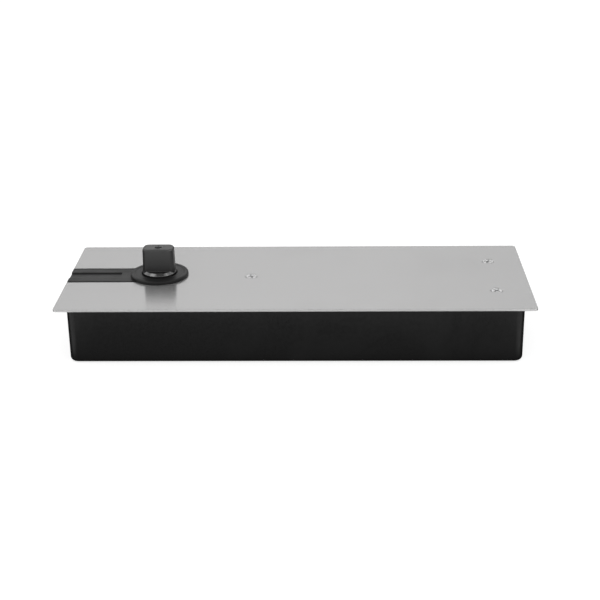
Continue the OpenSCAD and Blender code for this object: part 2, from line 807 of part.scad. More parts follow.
module spindle_lip_seal() {
    seat = 1.2;
    color("#202022") on_axis() translate([spindle_x, 0, collar_z - lip_seal_height]) rotate_extrude()
        difference() {
            translate([neck_d / 2 + running_gap, 0])
                square([(lip_seal_od - neck_d) / 2 - running_gap, lip_seal_height]);
            translate([neck_d / 2 + seat, -cut])
                square([lip_seal_od / 2 - neck_d / 2 - 2 * seat, lip_seal_height - 1]);
        }
}

// ---- Spindle and cam ----

// One layer of the tapered block, seen as a thin rounded plate
module block_layer(z, length, width, r) {
    translate([0, 0, z - 0.01]) linear_extrude(0.01) rounded_rect(length, width, r, $fn = 48);
}

module spindle() {
    top_length = block_length - 2 * block_taper;
    top_width = block_width - 2 * block_taper;
    chamfer_z = spindle_top_z - block_chamfer * 1.2;
    color("#3d3d3f") on_axis() translate([spindle_x, 0, 0]) difference() {
        union() {
            translate([0, 0, journal_z]) cylinder(d = journal_d, h = cam_top_z - journal_z);
            intersection() {
                translate([0, 0, lower_yoke_z])
                    cylinder(d = cam_seat_d, h = cam_top_z - lower_yoke_z + 0.1);
                translate([-cam_seat_d, -cam_seat_flats / 2, lower_yoke_z])
                    cube([2 * cam_seat_d, cam_seat_flats, cam_top_z - lower_yoke_z + 0.1]);
            }
            translate([0, 0, cam_top_z])
                cylinder(d = neck_d, h = neck_top_z - neck_chamfer - cam_top_z);
            translate([0, 0, neck_top_z - neck_chamfer])
                cylinder(d1 = neck_d, d2 = neck_d - 2 * neck_chamfer, h = neck_chamfer);
            hull() {
                block_layer(neck_top_z - neck_chamfer, block_length, block_width,
                            block_corner_r);
                block_layer(chamfer_z, top_length, top_width, block_corner_r);
                block_layer(spindle_top_z, top_length - 2 * block_chamfer,
                            top_width - block_chamfer, block_corner_r - block_chamfer / 2);
            }
        }
        upright(0, 0, spindle_top_z - arm_hole_depth, spindle_top_z + cut, arm_hole_d);
        translate([0, 0, spindle_top_z - 0.5])
            cylinder(d1 = arm_hole_d, d2 = arm_hole_d + 1.2, h = 0.6);
        // groove of the retaining ring
        translate([0, 0, cam_z - retainer_thickness - seat_gap])
            washer(cam_seat_d + 4, cam_seat_flats - 1.5, retainer_thickness + seat_gap);
    }
}

// The roller's centre, seen from the spindle's axis, when the door is open by an angle
function pitch_radius(angle) = pitch_r + lift_per_degree * abs(angle);

// A point of the cam's edge: the roller's centre, moved back along the normal by its radius
function cam_point(angle) =
    let (
        r = pitch_radius(angle),
        slope = sign(angle) * lift_per_radian,
        normal = [r * cos(angle) + slope * sin(angle), r * sin(angle) - slope * cos(angle)],
        back = (roller_d / 2 + cam_gap) / norm(normal)
    )
    [r * cos(angle), r * sin(angle)] - back * normal;

module cam_outline() {
    step = 3;
    intersection() {
        polygon(concat(
            [for (angle = [0.1 : step : 150]) cam_point(angle)],
            [[-cam_nose_r * 1.2, cam_nose_r * 0.4], [-cam_nose_r * 1.2, -cam_nose_r * 0.4]],
            [for (angle = [0.1 : step : 150]) let (p = cam_point(150.1 - angle)) [p.x, -p.y]]
        ));
        circle(cam_nose_r);
    }
}

module cam_disc() {
    color("#77797b") on_axis() translate([spindle_x, 0, cam_z]) rotate([0, 0, 180])
        linear_extrude(cam_thickness - seat_gap) difference() {
            cam_outline();
            translate([pitch_r, 0]) circle(d = roller_d + 2 * cam_gap);
            intersection() {
                circle(d = cam_seat_d + 2 * seat_gap);
                square([2 * cam_seat_d, cam_seat_flats + 2 * seat_gap], center = true);
            }
        }
}

// A snap ring in the spindle's groove, which keeps the cam on its seat
module cam_retaining_ring() {
    color("#8d8f90") on_axis() translate([spindle_x, 0, cam_z - retainer_thickness])
        difference() {
            washer(cam_seat_d + 4, cam_seat_flats - 1.5 + 2 * seat_gap,
                   retainer_thickness - seat_gap);
            translate([0, -1.5, -cut]) cube([cam_seat_d, 3, retainer_thickness + 2 * cut]);
        }
}

// ---- Roller, yoke and pull rod ----

module cam_roller() {
    color("#9a9c9d") on_axis() translate([roller_x, 0, lower_yoke_z + yoke_thickness + side_gap / 2])
        washer(roller_d, roller_pin_d + 2 * running_gap,
               upper_yoke_z - lower_yoke_z - yoke_thickness - side_gap);
}

module roller_pin() {
    color("#b9b9b7") on_axis() upright(roller_x, 0, lower_yoke_z, upper_yoke_top_z, roller_pin_d);
}

// A yoke plate: a long link with a slot that lets the spindle through
module yoke_plate(z, shaft_d) {
    slot_d = shaft_d + 2 * yoke_slot_clearance;
    color("#85878a") on_axis() translate([0, 0, z]) linear_extrude(yoke_thickness) difference() {
        union() {
            translate([roller_x, 0]) circle(yoke_end_r);
            rounded_span(roller_x, yoke_right_x, yoke_width, 5);
        }
        translate([spindle_x, 0]) circle(d = slot_d);
        translate([spindle_x + cam_lift, 0]) circle(d = slot_d);
        translate([spindle_x, -slot_d / 2]) square([cam_lift, slot_d]);
        translate([roller_x, 0]) circle(d = roller_pin_d + 2 * seat_gap);
        for (place = yoke_pin_places()) translate(place) circle(d = yoke_pin_d + 2 * seat_gap);
    }
}

function yoke_pin_places() = [
    for (side = [front, rear]) [yoke_block_x + yoke_block_length / 2, side * yoke_width / 3.4]
];

module yoke_upper_plate() {
    yoke_plate(upper_yoke_z, neck_d);
}

module yoke_lower_plate() {
    yoke_plate(lower_yoke_z, cam_seat_d);
}

module yoke_block() {
    color("#85878a") on_axis() difference() {
        translate([yoke_block_x, -yoke_width / 2, lower_yoke_z + yoke_thickness])
            cube([yoke_block_length, yoke_width, upper_yoke_z - lower_yoke_z - yoke_thickness]);
        along_x(yoke_block_x - cut, yoke_right_x + cut, rod_end_d + 2 * seat_gap);
        for (place = yoke_pin_places())
            upright(place.x, place.y, lower_yoke_z, upper_yoke_top_z, yoke_pin_d + 2 * seat_gap);
    }
}

module yoke_pins() {
    color("#b9b9b7") on_axis() for (place = yoke_pin_places())
        upright(place.x, place.y, lower_yoke_z, upper_yoke_top_z, yoke_pin_d);
}

// The rod pulls the crosshead. Its thin ends screw into the yoke block and the piston.
module pull_rod() {
    color("#a8a9aa") on_axis() {
        along_x(yoke_block_x + seat_gap, yoke_right_x + 0.1, rod_end_d);
        along_x(yoke_right_x + seat_gap, crosshead_x - seat_gap, rod_d);
        along_x(crosshead_x - 0.1, piston_x + rod_end_reach, rod_end_d);
    }
}

module rod_bush() {
    color("#a9803c") on_axis() translate([chamber_right_x, 0, mid_z]) rotate([0, 90, 0])
        washer(rod_bush_od, rod_d + 2 * running_gap, bulkhead_thickness);
}

module crosshead() {
    height = body_top_z - chamber_floor_z - 2;
    color("#85878a") on_axis() difference() {
        translate([crosshead_x, -chamber_width / 2 + 1, mid_z - height / 2])
            translate([0, 0, (chamber_floor_z + body_top_z) / 2 - mid_z])
                cube([crosshead_thickness, chamber_width - 2, height]);
        along_x(crosshead_x - cut, crosshead_x + crosshead_thickness + cut,
                rod_end_d + 2 * seat_gap);
    }
}

module rod_nut() {
    color("#b9b9b7") on_axis() translate([rod_nut_x, 0, mid_z]) rotate([0, 90, 0]) difference() {
        hex_prism(rod_d + 4, rod_nut_thickness);
        translate([0, 0, -cut]) cylinder(d = rod_end_d + 2 * seat_gap,
                                         h = rod_nut_thickness + 2 * cut);
    }
}

// ---- Closing springs ----

// How far along the spring its wire is after a number of turns: the first and last turn lie
// close together, and the rest share what is left
function coil_rise(turn, turns, length, wire) =
    let (
        closed = wire * 1.06,
        pitch = (length - wire - 2 * closed) / turns,
        low = min(turn, 1),
        middle = min(max(turn - 1, 0), turns),
        high = max(turn - 1 - turns, 0)
    )
    wire / 2 + low * closed + middle * pitch + high * closed;

// A coil spring along X: one polyhedron, swept round the helix
module coil_spring(length, mean_r, wire, turns) {
    sides = 8;
    per_turn = 20;
    steps = (turns + 2) * per_turn;
    points = [
        for (i = [0 : steps], k = [0 : sides - 1])
            let (
                turn = i / per_turn,
                around = 360 * turn,
                out = mean_r + wire / 2 * cos(360 * k / sides),
                rise = coil_rise(turn, turns, length, wire) + wire / 2 * sin(360 * k / sides)
            )
            [rise, out * cos(around), out * sin(around)]
    ];
    walls = [
        for (i = [0 : steps - 1], k = [0 : sides - 1])
            let (
                a = i * sides + k,
                b = i * sides + (k + 1) % sides
            )
            [a, b, b + sides, a + sides]
    ];
    start = [for (k = [sides - 1 : -1 : 0]) k];
    end = [for (k = [0 : sides - 1]) steps * sides + k];
    polyhedron(points, concat(walls, [start], [end]), convexity = 10);
}

module closing_spring(side) {
    color("#56585b") on_axis() translate([spring_left_x + seat_gap, side * spring_spacing / 2, mid_z])
        coil_spring(spring_length - 2 * seat_gap, spring_mean_r, spring_wire_d, spring_turns);
}

module closing_spring_front() {
    closing_spring(front);
}

module closing_spring_rear() {
    closing_spring(rear);
}

// Rods screwed into the bulkhead, which keep the springs straight
module spring_guides() {
    length = spring_length * 0.6;
    color("#a8a9aa") on_axis() for (side = [front, rear]) {
        along_x(guide_root_x + post_gap, spring_left_x + 0.1, guide_root_d,
                side * spring_spacing / 2);
        along_x(spring_left_x + seat_gap, spring_left_x + length, spring_guide_d,
                side * spring_spacing / 2);
    }
}

// ---- Piston and check valve ----

// The piston's rear part is thinner, so oil reaches the check valve through a cross hole
module piston() {
    cross_x = piston_land_x - check_seat_r;
    tail_d = 2 * (piston_r - piston_seal_depth);
    color("#9b9c9e") on_axis() difference() {
        union() {
            along_x(piston_x, piston_land_x + 0.1, tail_d);
            along_x(piston_land_x, piston_x + piston_length, 2 * piston_r);
        }
        along_x(piston_x - cut, piston_x + rod_end_reach + post_gap, rod_end_d + 2 * seat_gap);
        translate([cross_x, 0, mid_z - bore_d]) cylinder(d = 2 * check_seat_r, h = 2 * bore_d);
        along_x(cross_x, check_seat_x + 0.1, 2 * check_seat_r);
        translate([check_seat_x, 0, mid_z]) rotate([0, 90, 0])
            cylinder(r1 = check_seat_r, r2 = check_pocket_r, h = check_pocket_r - check_seat_r);
        along_x(check_seat_x + check_pocket_r - check_seat_r - 0.01,
                piston_x + piston_length + cut, 2 * check_pocket_r);
        translate([piston_seal_x, 0, mid_z]) rotate([0, 90, 0])
            washer(2 * piston_r + 2, tail_d, piston_seal_width);
    }
}

module piston_seal() {
    color("#202022") on_axis() translate([piston_seal_x + seat_gap, 0, mid_z]) rotate([0, 90, 0])
        washer(bore_d - 2 * seat_gap, 2 * (piston_r - piston_seal_depth) + 2 * seat_gap,
               piston_seal_width - 2 * seat_gap);
}

module check_ball() {
    color("#b9b9b7") on_axis() translate([check_ball_x, 0, mid_z]) sphere(d = check_ball_d);
}

module check_retainer() {
    color("#8d8f90") on_axis() translate([check_retainer_x, 0, mid_z]) rotate([0, 90, 0])
        washer(2 * (check_pocket_r - seat_gap), check_ball_d * 0.55, check_retainer_thickness);
}

module end_plug() {
    socket_depth = plug_length * 0.4;
    color("#8d8f90") on_axis() difference() {
        along_x(plug_x + seat_gap, body_right_x, plug_d);
        translate([plug_ring_x - plug_ring_cord * 0.63, 0, mid_z]) rotate([0, 90, 0])
            washer(plug_d + 2, plug_d - 2.06 * plug_ring_cord, plug_ring_cord * 1.26);
        translate([body_right_x - socket_depth, 0, mid_z]) rotate([0, 90, 0])
            hex_prism(plug_d * 0.46, socket_depth + cut);
    }
}

module end_plug_o_ring() {
    color("#202022") on_axis() translate([plug_ring_x, 0, mid_z]) rotate([0, 90, 0])
        o_ring(plug_d - 1.03 * plug_ring_cord, plug_ring_cord);
}

// ---- Speed valves ----

// A needle valve with a screwdriver slot, a groove for its O-ring and a conical tip
module speed_valve(side) {
    needle_d = valve_d * 0.55;
    tip = valve_d * 0.38;
    head_z = body_top_z - post_gap;
    color("#b48a3e") on_axis() translate([valve_x, side * valve_spacing / 2, 0]) difference() {
        union() {
            upright(0, 0, mid_z + port_d, head_z, valve_d);
            upright(0, 0, valve_tip_z + tip, mid_z + port_d + 0.1, needle_d);
            translate([0, 0, valve_tip_z]) cylinder(d1 = needle_d / 4, d2 = needle_d, h = tip + 0.01);
        }
        translate([0, 0, valve_ring_z - valve_ring_cord * 0.7])
            washer(valve_d + 2, valve_d - 2.08 * valve_ring_cord, valve_ring_cord * 1.4);
        translate([-valve_d, -valve_d * 0.07, head_z - valve_d * 0.2])
            cube([2 * valve_d, valve_d * 0.14, valve_d]);
    }
}

module valve_o_ring(side) {
    color("#202022") on_axis() translate([valve_x, side * valve_spacing / 2, valve_ring_z])
        o_ring(valve_d - 1.04 * valve_ring_cord, valve_ring_cord);
}

module closing_speed_valve() {
    speed_valve(front);
}

module closing_valve_o_ring() {
    valve_o_ring(front);
}

module latching_speed_valve() {
    speed_valve(rear);
}

module latching_valve_o_ring() {
    valve_o_ring(rear);
}

cement_case();
clamp_brackets();
cover_bracket();
cover_plate();
cover_screws();
slot_insert();
spindle_ring();
closer_body();
levelling_screws();
clamp_bolts();
clamp_washers();
body_lid();
lid_gasket();
lid_screws();
oil_plug();
upper_bush();
lower_bush();
thrust_washer();
spindle_lip_seal();
spindle();
cam_disc();
cam_retaining_ring();
cam_roller();
roller_pin();
yoke_upper_plate();
yoke_lower_plate();
yoke_block();
yoke_pins();
pull_rod();
rod_bush();
crosshead();
rod_nut();
closing_spring_front();
closing_spring_rear();
spring_guides();
piston();
piston_seal();
check_ball();
check_retainer();
closing_speed_valve();
closing_valve_o_ring();
latching_speed_valve();
latching_valve_o_ring();
end_plug();
end_plug_o_ring();
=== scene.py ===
# %% [markdown]
# # A floor spring door closer
# A floor spring sits in a pocket under a door. All that shows is a stainless cover plate, level
# with the floor, and the spindle that carries the door. This notebook dresses the measured
# model of one: the frame holds every part at its real place and size, and each cell below
# either gives a part its finish or models again, with softer edges, a part that the eye rests on.

import json
import math

import bmesh
import bpy
from mathutils import Matrix, Vector


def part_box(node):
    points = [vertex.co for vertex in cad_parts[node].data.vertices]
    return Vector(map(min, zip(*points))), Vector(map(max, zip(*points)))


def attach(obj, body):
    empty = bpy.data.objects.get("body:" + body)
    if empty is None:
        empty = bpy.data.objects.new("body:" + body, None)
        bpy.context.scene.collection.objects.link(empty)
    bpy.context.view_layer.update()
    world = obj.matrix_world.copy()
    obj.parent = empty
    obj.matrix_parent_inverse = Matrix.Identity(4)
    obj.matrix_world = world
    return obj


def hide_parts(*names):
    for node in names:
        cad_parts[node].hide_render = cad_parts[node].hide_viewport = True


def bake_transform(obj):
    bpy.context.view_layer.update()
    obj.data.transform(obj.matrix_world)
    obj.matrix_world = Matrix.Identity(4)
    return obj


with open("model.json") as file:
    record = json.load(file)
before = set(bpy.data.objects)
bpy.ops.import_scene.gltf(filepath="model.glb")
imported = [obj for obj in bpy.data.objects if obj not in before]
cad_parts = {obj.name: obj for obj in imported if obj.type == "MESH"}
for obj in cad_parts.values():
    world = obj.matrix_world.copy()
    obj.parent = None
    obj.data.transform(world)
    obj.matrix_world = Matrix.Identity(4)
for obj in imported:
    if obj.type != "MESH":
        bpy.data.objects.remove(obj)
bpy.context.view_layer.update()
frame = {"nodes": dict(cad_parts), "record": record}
MM = 0.001

# %% [markdown]
# ## The camera
# The viewpoint is above the front of the case and a little to the right, with a long lens, so
# that the plate's far edge is hardly shorter than its near one. The camera is turned by three
# plain angles: tilted down, turned left, and rolled by a hair, as a hand-set tripod is.

# %% Camera
camera_data = bpy.data.cameras.new("camera")
camera_data.sensor_width = 36
camera_data.lens = 77.264
camera_place = (0.02855, -0.84082, 0.36821)
camera = bpy.data.objects.new("camera", camera_data)
bpy.context.collection.objects.link(camera)
tilt_down = math.radians(22.293)
turn_left = math.radians(1.800)
roll = math.radians(-0.842)
camera.matrix_world = (
    Matrix.Translation(camera_place)
    @ Matrix.Rotation(turn_left, 4, "Z")
    @ Matrix.Rotation(math.pi / 2 - tilt_down, 4, "X")
    @ Matrix.Rotation(roll, 4, "Z")
)
bpy.context.scene.camera = camera
bpy.context.scene.view_settings.view_transform = "Standard"
print("camera stands", round(camera.location.length, 2), "m from the case")

# %% [markdown]
# ## Small helpers for node trees
# Every finish here is worked out by shader nodes, so it has no picture files and no seams.
# A tree is easier to read when each node is made by one call that also sets its values and
# joins its inputs, so that is what `Tree.add` does.

# %% A short way to build node trees
class Tree:
    """A node tree with one short call that adds a node, sets it and links its inputs."""

    def __init__(self, tree):
        self.nodes = tree.nodes
        self.links = tree.links

    def add(self, kind, inputs=None, **settings):
        node = self.nodes.new(kind)
        for name, value in settings.items():
            setattr(node, name, value)
        for name, value in (inputs or {}).items():
            self.join(value, node.inputs[name])
        return node

    def join(self, value, socket):
        if isinstance(value, bpy.types.NodeSocket):
            self.links.new(value, socket)
        else:
            socket.default_value = value

    def math(self, operation, first, second=0.0, clamp=False):
        node = self.add("ShaderNodeMath", {0: first, 1: second}, operation=operation)
        node.use_clamp = clamp
        return node.outputs[0]

    def remap(self, value, low, high, to_low=0.0, to_high=1.0):
        node = self.add("ShaderNodeMapRange", {"Value": value, "From Min": low, "From Max": high,
                                               "To Min": to_low, "To Max": to_high})
        return node.outputs[0]

    def noise(self, vector, scale, detail=2.0, roughness=0.5):
        node = self.add("ShaderNodeTexNoise", {"Vector": vector, "Scale": scale,
                                               "Detail": detail, "Roughness": roughness})
        return node.outputs[0]


def new_group(name, inputs, outputs):
    """An empty shader node group with named number inputs and outputs."""
    group = bpy.data.node_groups.new(name, "ShaderNodeTree")
    for label, value in inputs.items():
        socket = group.interface.new_socket(label, in_out="INPUT", socket_type="NodeSocketFloat")
        socket.default_value = value
    for label in outputs:
        group.interface.new_socket(label, in_out="OUTPUT", socket_type="NodeSocketFloat")
    tree = Tree(group)
    return group, tree, tree.add("NodeGroupInput").outputs, tree.add("NodeGroupOutput").inputs


# %% [markdown]
# ## Effects that many finishes share
# Five effects cover the whole closer. Each is a node group, built once, and each material
# places it with values of its own:
# - *brushed lines*, the long fine scratches that an abrasive belt leaves on sheet steel,
# - *surface grain*, the fine bumps of sprayed paint, moulded plastic and cast iron,
# - *handling marks*, soft blotches where hands and cloths have been,
# - *edge wear*, a mask that is bright where the surface turns sharply outwards,
# - *turning marks*, the fine rings that a lathe leaves round a part's axis.

# %% Brushed lines
def build_brushed_lines():
    group, t, given, out = new_group(
        "brushed_lines", {"Lines per mm": 4.0, "Length mm": 30.0}, ["Tone", "Height"])
    place = t.add("ShaderNodeTexCoord").outputs["Object"]
    parts = t.add("ShaderNodeSeparateXYZ", {"Vector": place}).outputs
    across = t.math("MULTIPLY", given["Lines per mm"], 1 / MM)
    along = t.math("DIVIDE", 1 / MM, given["Length mm"])
    stretched = t.add("ShaderNodeCombineXYZ", {
        "X": t.math("MULTIPLY", parts["X"], along),
        "Y": t.math("MULTIPLY", parts["Y"], across),
        "Z": t.math("MULTIPLY", parts["Z"], across)}).outputs[0]
    fine = t.noise(stretched, 1.0, 3.0, 0.7)
    broad = t.noise(stretched, 0.13, 2.0)
    mixed = t.math("ADD", t.math("MULTIPLY", fine, 0.65), t.math("MULTIPLY", broad, 0.35))
    t.join(mixed, out["Height"])
    t.join(t.remap(mixed, 0.3, 0.7), out["Tone"])
    return group


brushed_lines = build_brushed_lines()
print("group", brushed_lines.name, "has", len(brushed_lines.nodes), "nodes")

# %% Surface grain
def build_surface_grain():
    group, t, given, out = new_group(
        "surface_grain", {"Grain mm": 0.5, "Softness": 0.5}, ["Tone", "Height"])
    place = t.add("ShaderNodeTexCoord").outputs["Object"]
    scale = t.math("DIVIDE", 1 / MM, given["Grain mm"])
    fine = t.noise(place, scale, 3.0, given["Softness"])
    t.join(fine, out["Height"])
    t.join(t.remap(fine, 0.35, 0.65), out["Tone"])
    return group


surface_grain = build_surface_grain()
print("group", surface_grain.name, "has", len(surface_grain.nodes), "nodes")

# %% Handling marks
def build_handling_marks():
    group, t, given, out = new_group(
        "handling_marks", {"Size mm": 40.0, "Coverage": 0.5}, ["Mask"])
    place = t.add("ShaderNodeTexCoord").outputs["Object"]
    scale = t.math("DIVIDE", 1 / MM, given["Size mm"])
    blotch = t.add("ShaderNodeTexNoise", {"Vector": place, "Scale": scale, "Detail": 4.0,
                                          "Roughness": 0.55, "Distortion": 0.6}).outputs[0]
    edge = t.math("SUBTRACT", 0.75, t.math("MULTIPLY", given["Coverage"], 0.5))
    mask = t.math("MULTIPLY", t.math("SUBTRACT", blotch, edge), 5.0, clamp=True)
    t.join(mask, out["Mask"])
    return group


handling_marks = build_handling_marks()
print("group", handling_marks.name, "has", len(handling_marks.nodes), "nodes")

# %% Edge wear
def build_edge_wear():
    group, t, given, out = new_group(
        "edge_wear", {"Reach": 0.5, "Patch mm": 2.0}, ["Mask"])
    bend = t.add("ShaderNodeNewGeometry").outputs["Pointiness"]
    place = t.add("ShaderNodeTexCoord").outputs["Object"]
    scale = t.math("DIVIDE", 1 / MM, given["Patch mm"])
    patches = t.noise(place, scale, 3.0)
    edge = t.remap(bend, 0.52, 0.60)
    worn = t.math("MULTIPLY", edge, t.remap(patches, 0.35, 0.6))
    t.join(t.math("MULTIPLY", worn, given["Reach"], clamp=True), out["Mask"])
    return group


edge_wear = build_edge_wear()
print("group", edge_wear.name, "has", len(edge_wear.nodes), "nodes")

# %% Turning marks
def build_turning_marks():
    group, t, given, out = new_group(
        "turning_marks", {"Axis X": 0.0, "Axis Y": 0.0, "Rings per mm": 5.0}, ["Tone", "Height"])
    place = t.add("ShaderNodeTexCoord").outputs["Object"]
    parts = t.add("ShaderNodeSeparateXYZ", {"Vector": place}).outputs
    right = t.math("SUBTRACT", parts["X"], given["Axis X"])
    back = t.math("SUBTRACT", parts["Y"], given["Axis Y"])
    radius = t.math("SQRT", t.math("ADD", t.math("POWER", right, 2.0),
                                   t.math("POWER", back, 2.0)))
    per_metre = t.math("MULTIPLY", given["Rings per mm"], 1 / MM)
    rings = t.add("ShaderNodeCombineXYZ", {"X": t.math("MULTIPLY", radius, per_metre),
                                           "Z": t.math("MULTIPLY", parts["Z"], per_metre)})
    fine = t.noise(rings.outputs[0], 1.0, 2.0, 0.6)
    t.join(fine, out["Height"])
    t.join(t.remap(fine, 0.3, 0.7), out["Tone"])
    return group


turning_marks = build_turning_marks()
print("group", turning_marks.name, "has", len(turning_marks.nodes), "nodes")

# %% [markdown]
# ## Placing an effect in a material
# Every material starts the same way: a Principled shader whose plain numbers are typed on its
# own sockets. What varies over the surface comes from the groups above. Two small calls keep
# the recipes short: one mixes two colours by a mask, and one turns heights into a bump.

# %% Start a material
class Finish(Tree):
    """A material with one Principled shader, and short calls for groups, mixes and bumps."""

    def __init__(self, name, **settings):
        plain = bpy.data.materials.get(name)
        if plain:  # the measured model brings a plain material of the same name
            plain.name = name + "_plain"
        self.material = bpy.data.materials.new(name)
        self.material.use_nodes = True
        super().__init__(self.material.node_tree)
        self.shader = self.nodes["Principled BSDF"]
        for label, value in settings.items():
            self.shader.inputs[label.replace("_", " ")].default_value = value

    def place(self, group, **values):
        node = self.add("ShaderNodeGroup", node_tree=group)
        for label, value in values.items():
            node.inputs[label.replace("_", " ")].default_value = value
        return node.outputs

    def mix(self, mask, first, second):
        node = self.add("ShaderNodeMix", data_type="RGBA")
        # A Mix node has a set of sockets for each kind of value; these are the colour ones.
        for value, socket in zip((mask, first, second), (node.inputs[0], *node.inputs[6:8])):
            self.join(value if not isinstance(value, tuple) else (*value, 1), socket)
        return node.outputs[2]

    def bump(self, height, depth_mm):
        return self.add("ShaderNodeBump", {"Height": height, "Distance": depth_mm * MM,
                                           "Strength": 1.0}).outputs[0]

    def feed(self, **sockets):
        for label, value in sockets.items():
            self.join(value, self.shader.inputs[label.replace("_", " ")])
        return self.material


def grey(level, warmth=0.0):
    """A grey of a given brightness, a little warmer or cooler."""
    return (level * (1 + warmth), level, level * (1 - warmth))


# %% [markdown]
# ## Stainless cover
# Cover plates are belt-ground along their length. The scratches run along X, so what the
# plate mirrors stays sharp from side to side and smears up and down. A bump alone would need
# millions of samples to do that; an anisotropic shader does it at once. It needs to know which
# way a reflection smears. The plate's mesh carries that in a UV map named `grain`, whose first
# direction runs across the scratches.

# %% Stainless cover
def make_stainless_cover():
    f = Finish("stainless_cover", Metallic=0.85, Anisotropic=1.0, Specular_IOR_Level=0.0)
    lines = f.place(brushed_lines, Lines_per_mm=5.0, Length_mm=90.0)
    soft = f.place(brushed_lines, Lines_per_mm=0.3, Length_mm=200.0)
    marks = f.place(handling_marks, Size_mm=55.0, Coverage=0.45)
    tone = f.math("ADD", f.math("MULTIPLY", lines["Tone"], 0.5),
                  f.math("MULTIPLY", soft["Tone"], 0.5))
    colour = f.mix(tone, grey(0.468, 0.004), grey(0.488, 0.002))
    roughness = f.math("ADD", f.remap(lines["Tone"], 0, 1, 0.225, 0.245),
                       f.math("MULTIPLY", marks["Mask"], 0.01))
    grain = f.add("ShaderNodeTangent", direction_type="UV_MAP", uv_map="grain")
    f.join(grain.outputs[0], f.shader.inputs["Tangent"])
    return f.feed(Base_Color=colour, Roughness=roughness,
                  Normal=f.bump(lines["Height"], 0.0008))


stainless_cover = make_stainless_cover()
print("finish", stainless_cover.name)

# %% [markdown]
# ## Black paint on the case
# The case is pressed from sheet and dipped in black paint. The paint is smooth but not
# polished, with a faint orange peel and dust in it. It is as dark as real black paint, just
# under one percent, because a lighter black turns grey under a white studio.

# %% Case paint
def make_case_paint():
    f = Finish("case_paint", Specular_IOR_Level=0.2)
    peel = f.place(surface_grain, Grain_mm=1.6, Softness=0.4)
    dust = f.place(surface_grain, Grain_mm=0.35, Softness=0.7)
    marks = f.place(handling_marks, Size_mm=60.0, Coverage=0.5)
    worn = f.place(edge_wear, Reach=0.35, Patch_mm=3.0)
    colour = f.mix(marks["Mask"], grey(0.007), grey(0.009))
    colour = f.mix(worn["Mask"], colour, grey(0.05))
    roughness = f.math("ADD", f.remap(dust["Tone"], 0, 1, 0.25, 0.33),
                       f.math("MULTIPLY", marks["Mask"], 0.06))
    return f.feed(Base_Color=colour, Roughness=roughness,
                  Normal=f.bump(peel["Height"], 0.02))


case_paint = make_case_paint()
print("finish", case_paint.name)

# %% [markdown]
# ## Moulded plastic and rubber
# The strip in the slot and the ring round the spindle are moulded. A mould leaves an even,
# fine matt grain. The strip is the lighter of the two, because it is a hard plastic. The floor
# of its channel is painted paler, as painted light against the shade in it, and its edges get
# painted shade along the steps, so the recipe can also mix two more tones by the distance from
# the strip's middle line.

# %% Moulded finishes
def make_moulded(name, low, high, roughness, grain_mm, depth_mm, middle=None):
    f = Finish(name, Specular_IOR_Level=0.25)
    grain = f.place(surface_grain, Grain_mm=grain_mm, Softness=0.6)
    marks = f.place(handling_marks, Size_mm=18.0, Coverage=0.5)
    worn = f.place(edge_wear, Reach=0.4, Patch_mm=1.5)
    colour = f.mix(grain["Tone"], low, high)
    colour = f.mix(worn["Mask"], colour, tuple(2.2 * v for v in high))
    if middle is not None:
        place = f.add("ShaderNodeTexCoord").outputs["Object"]
        back = f.add("ShaderNodeSeparateXYZ", {"Vector": place}).outputs["Y"]
        across = f.math("ABSOLUTE", f.math("SUBTRACT", back, middle))
        # Painted shade: the strip is darker near its edges, along the steps. Painted light: the
        # channel's floor is painted paler, against the shade that falls in it.
        painted_shade_at_edges = f.remap(across, 9.5 * MM, 11 * MM)
        past_painted_light_channel = f.remap(across, 4.4 * MM, 5.3 * MM)
        colour = f.mix(painted_shade_at_edges, colour, grey(0.25 * low[0]))
        colour = f.mix(past_painted_light_channel, grey(1.5 * high[0]), colour)
    rough = f.math("ADD", f.remap(grain["Tone"], 0, 1, roughness - 0.05, roughness + 0.05),
                   f.math("MULTIPLY", marks["Mask"], 0.08))
    return f.feed(Base_Color=colour, Roughness=rough,
                  Normal=f.bump(grain["Height"], depth_mm))


strip_front, strip_back = (corner[1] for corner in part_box("slot_insert"))
insert_plastic = make_moulded("insert_plastic", grey(0.018), grey(0.023), 0.5, 0.3, 0.012,
                              middle=(strip_front + strip_back) / 2)
ring_rubber = make_moulded("ring_rubber", grey(0.007), grey(0.010), 0.45, 0.25, 0.015)
seal_rubber = make_moulded("seal_rubber", grey(0.010), grey(0.016), 0.55, 0.2, 0.01)
print("finishes", insert_plastic.name, ring_rubber.name, seal_rubber.name)

# %% [markdown]
# ## Turned and ground steels
# The spindle is blackened in a hot bath after turning, and its neck is polished again where
# the seal runs. Its thread is painted paler than the rest, as painted light against the shade
# deep in the hole, and it is rougher.
# Blackened steel is a dark metal, not a black paint: it still mirrors, dimly. One recipe serves
# every turned or ground steel here, with its own tone and roughness.

# %% Steel finishes
def make_steel(name, low, high, roughness, lines_per_mm=4.0, axis=(0.0, 0.0), wear=0.5):
    f = Finish(name, Metallic=1.0)
    turned = f.place(turning_marks, Axis_X=axis[0], Axis_Y=axis[1], Rings_per_mm=lines_per_mm)
    marks = f.place(handling_marks, Size_mm=9.0, Coverage=0.55)
    worn = f.place(edge_wear, Reach=wear, Patch_mm=1.5)
    colour = f.mix(turned["Tone"], low, high)
    colour = f.mix(worn["Mask"], colour, grey(0.45))
    rough = f.math("ADD", f.remap(turned["Tone"], 0, 1, roughness - 0.04, roughness + 0.04),
                   f.math("MULTIPLY", marks["Mask"], 0.08))
    return f.feed(Base_Color=colour, Roughness=rough,
                  Normal=f.bump(turned["Height"], 0.004))


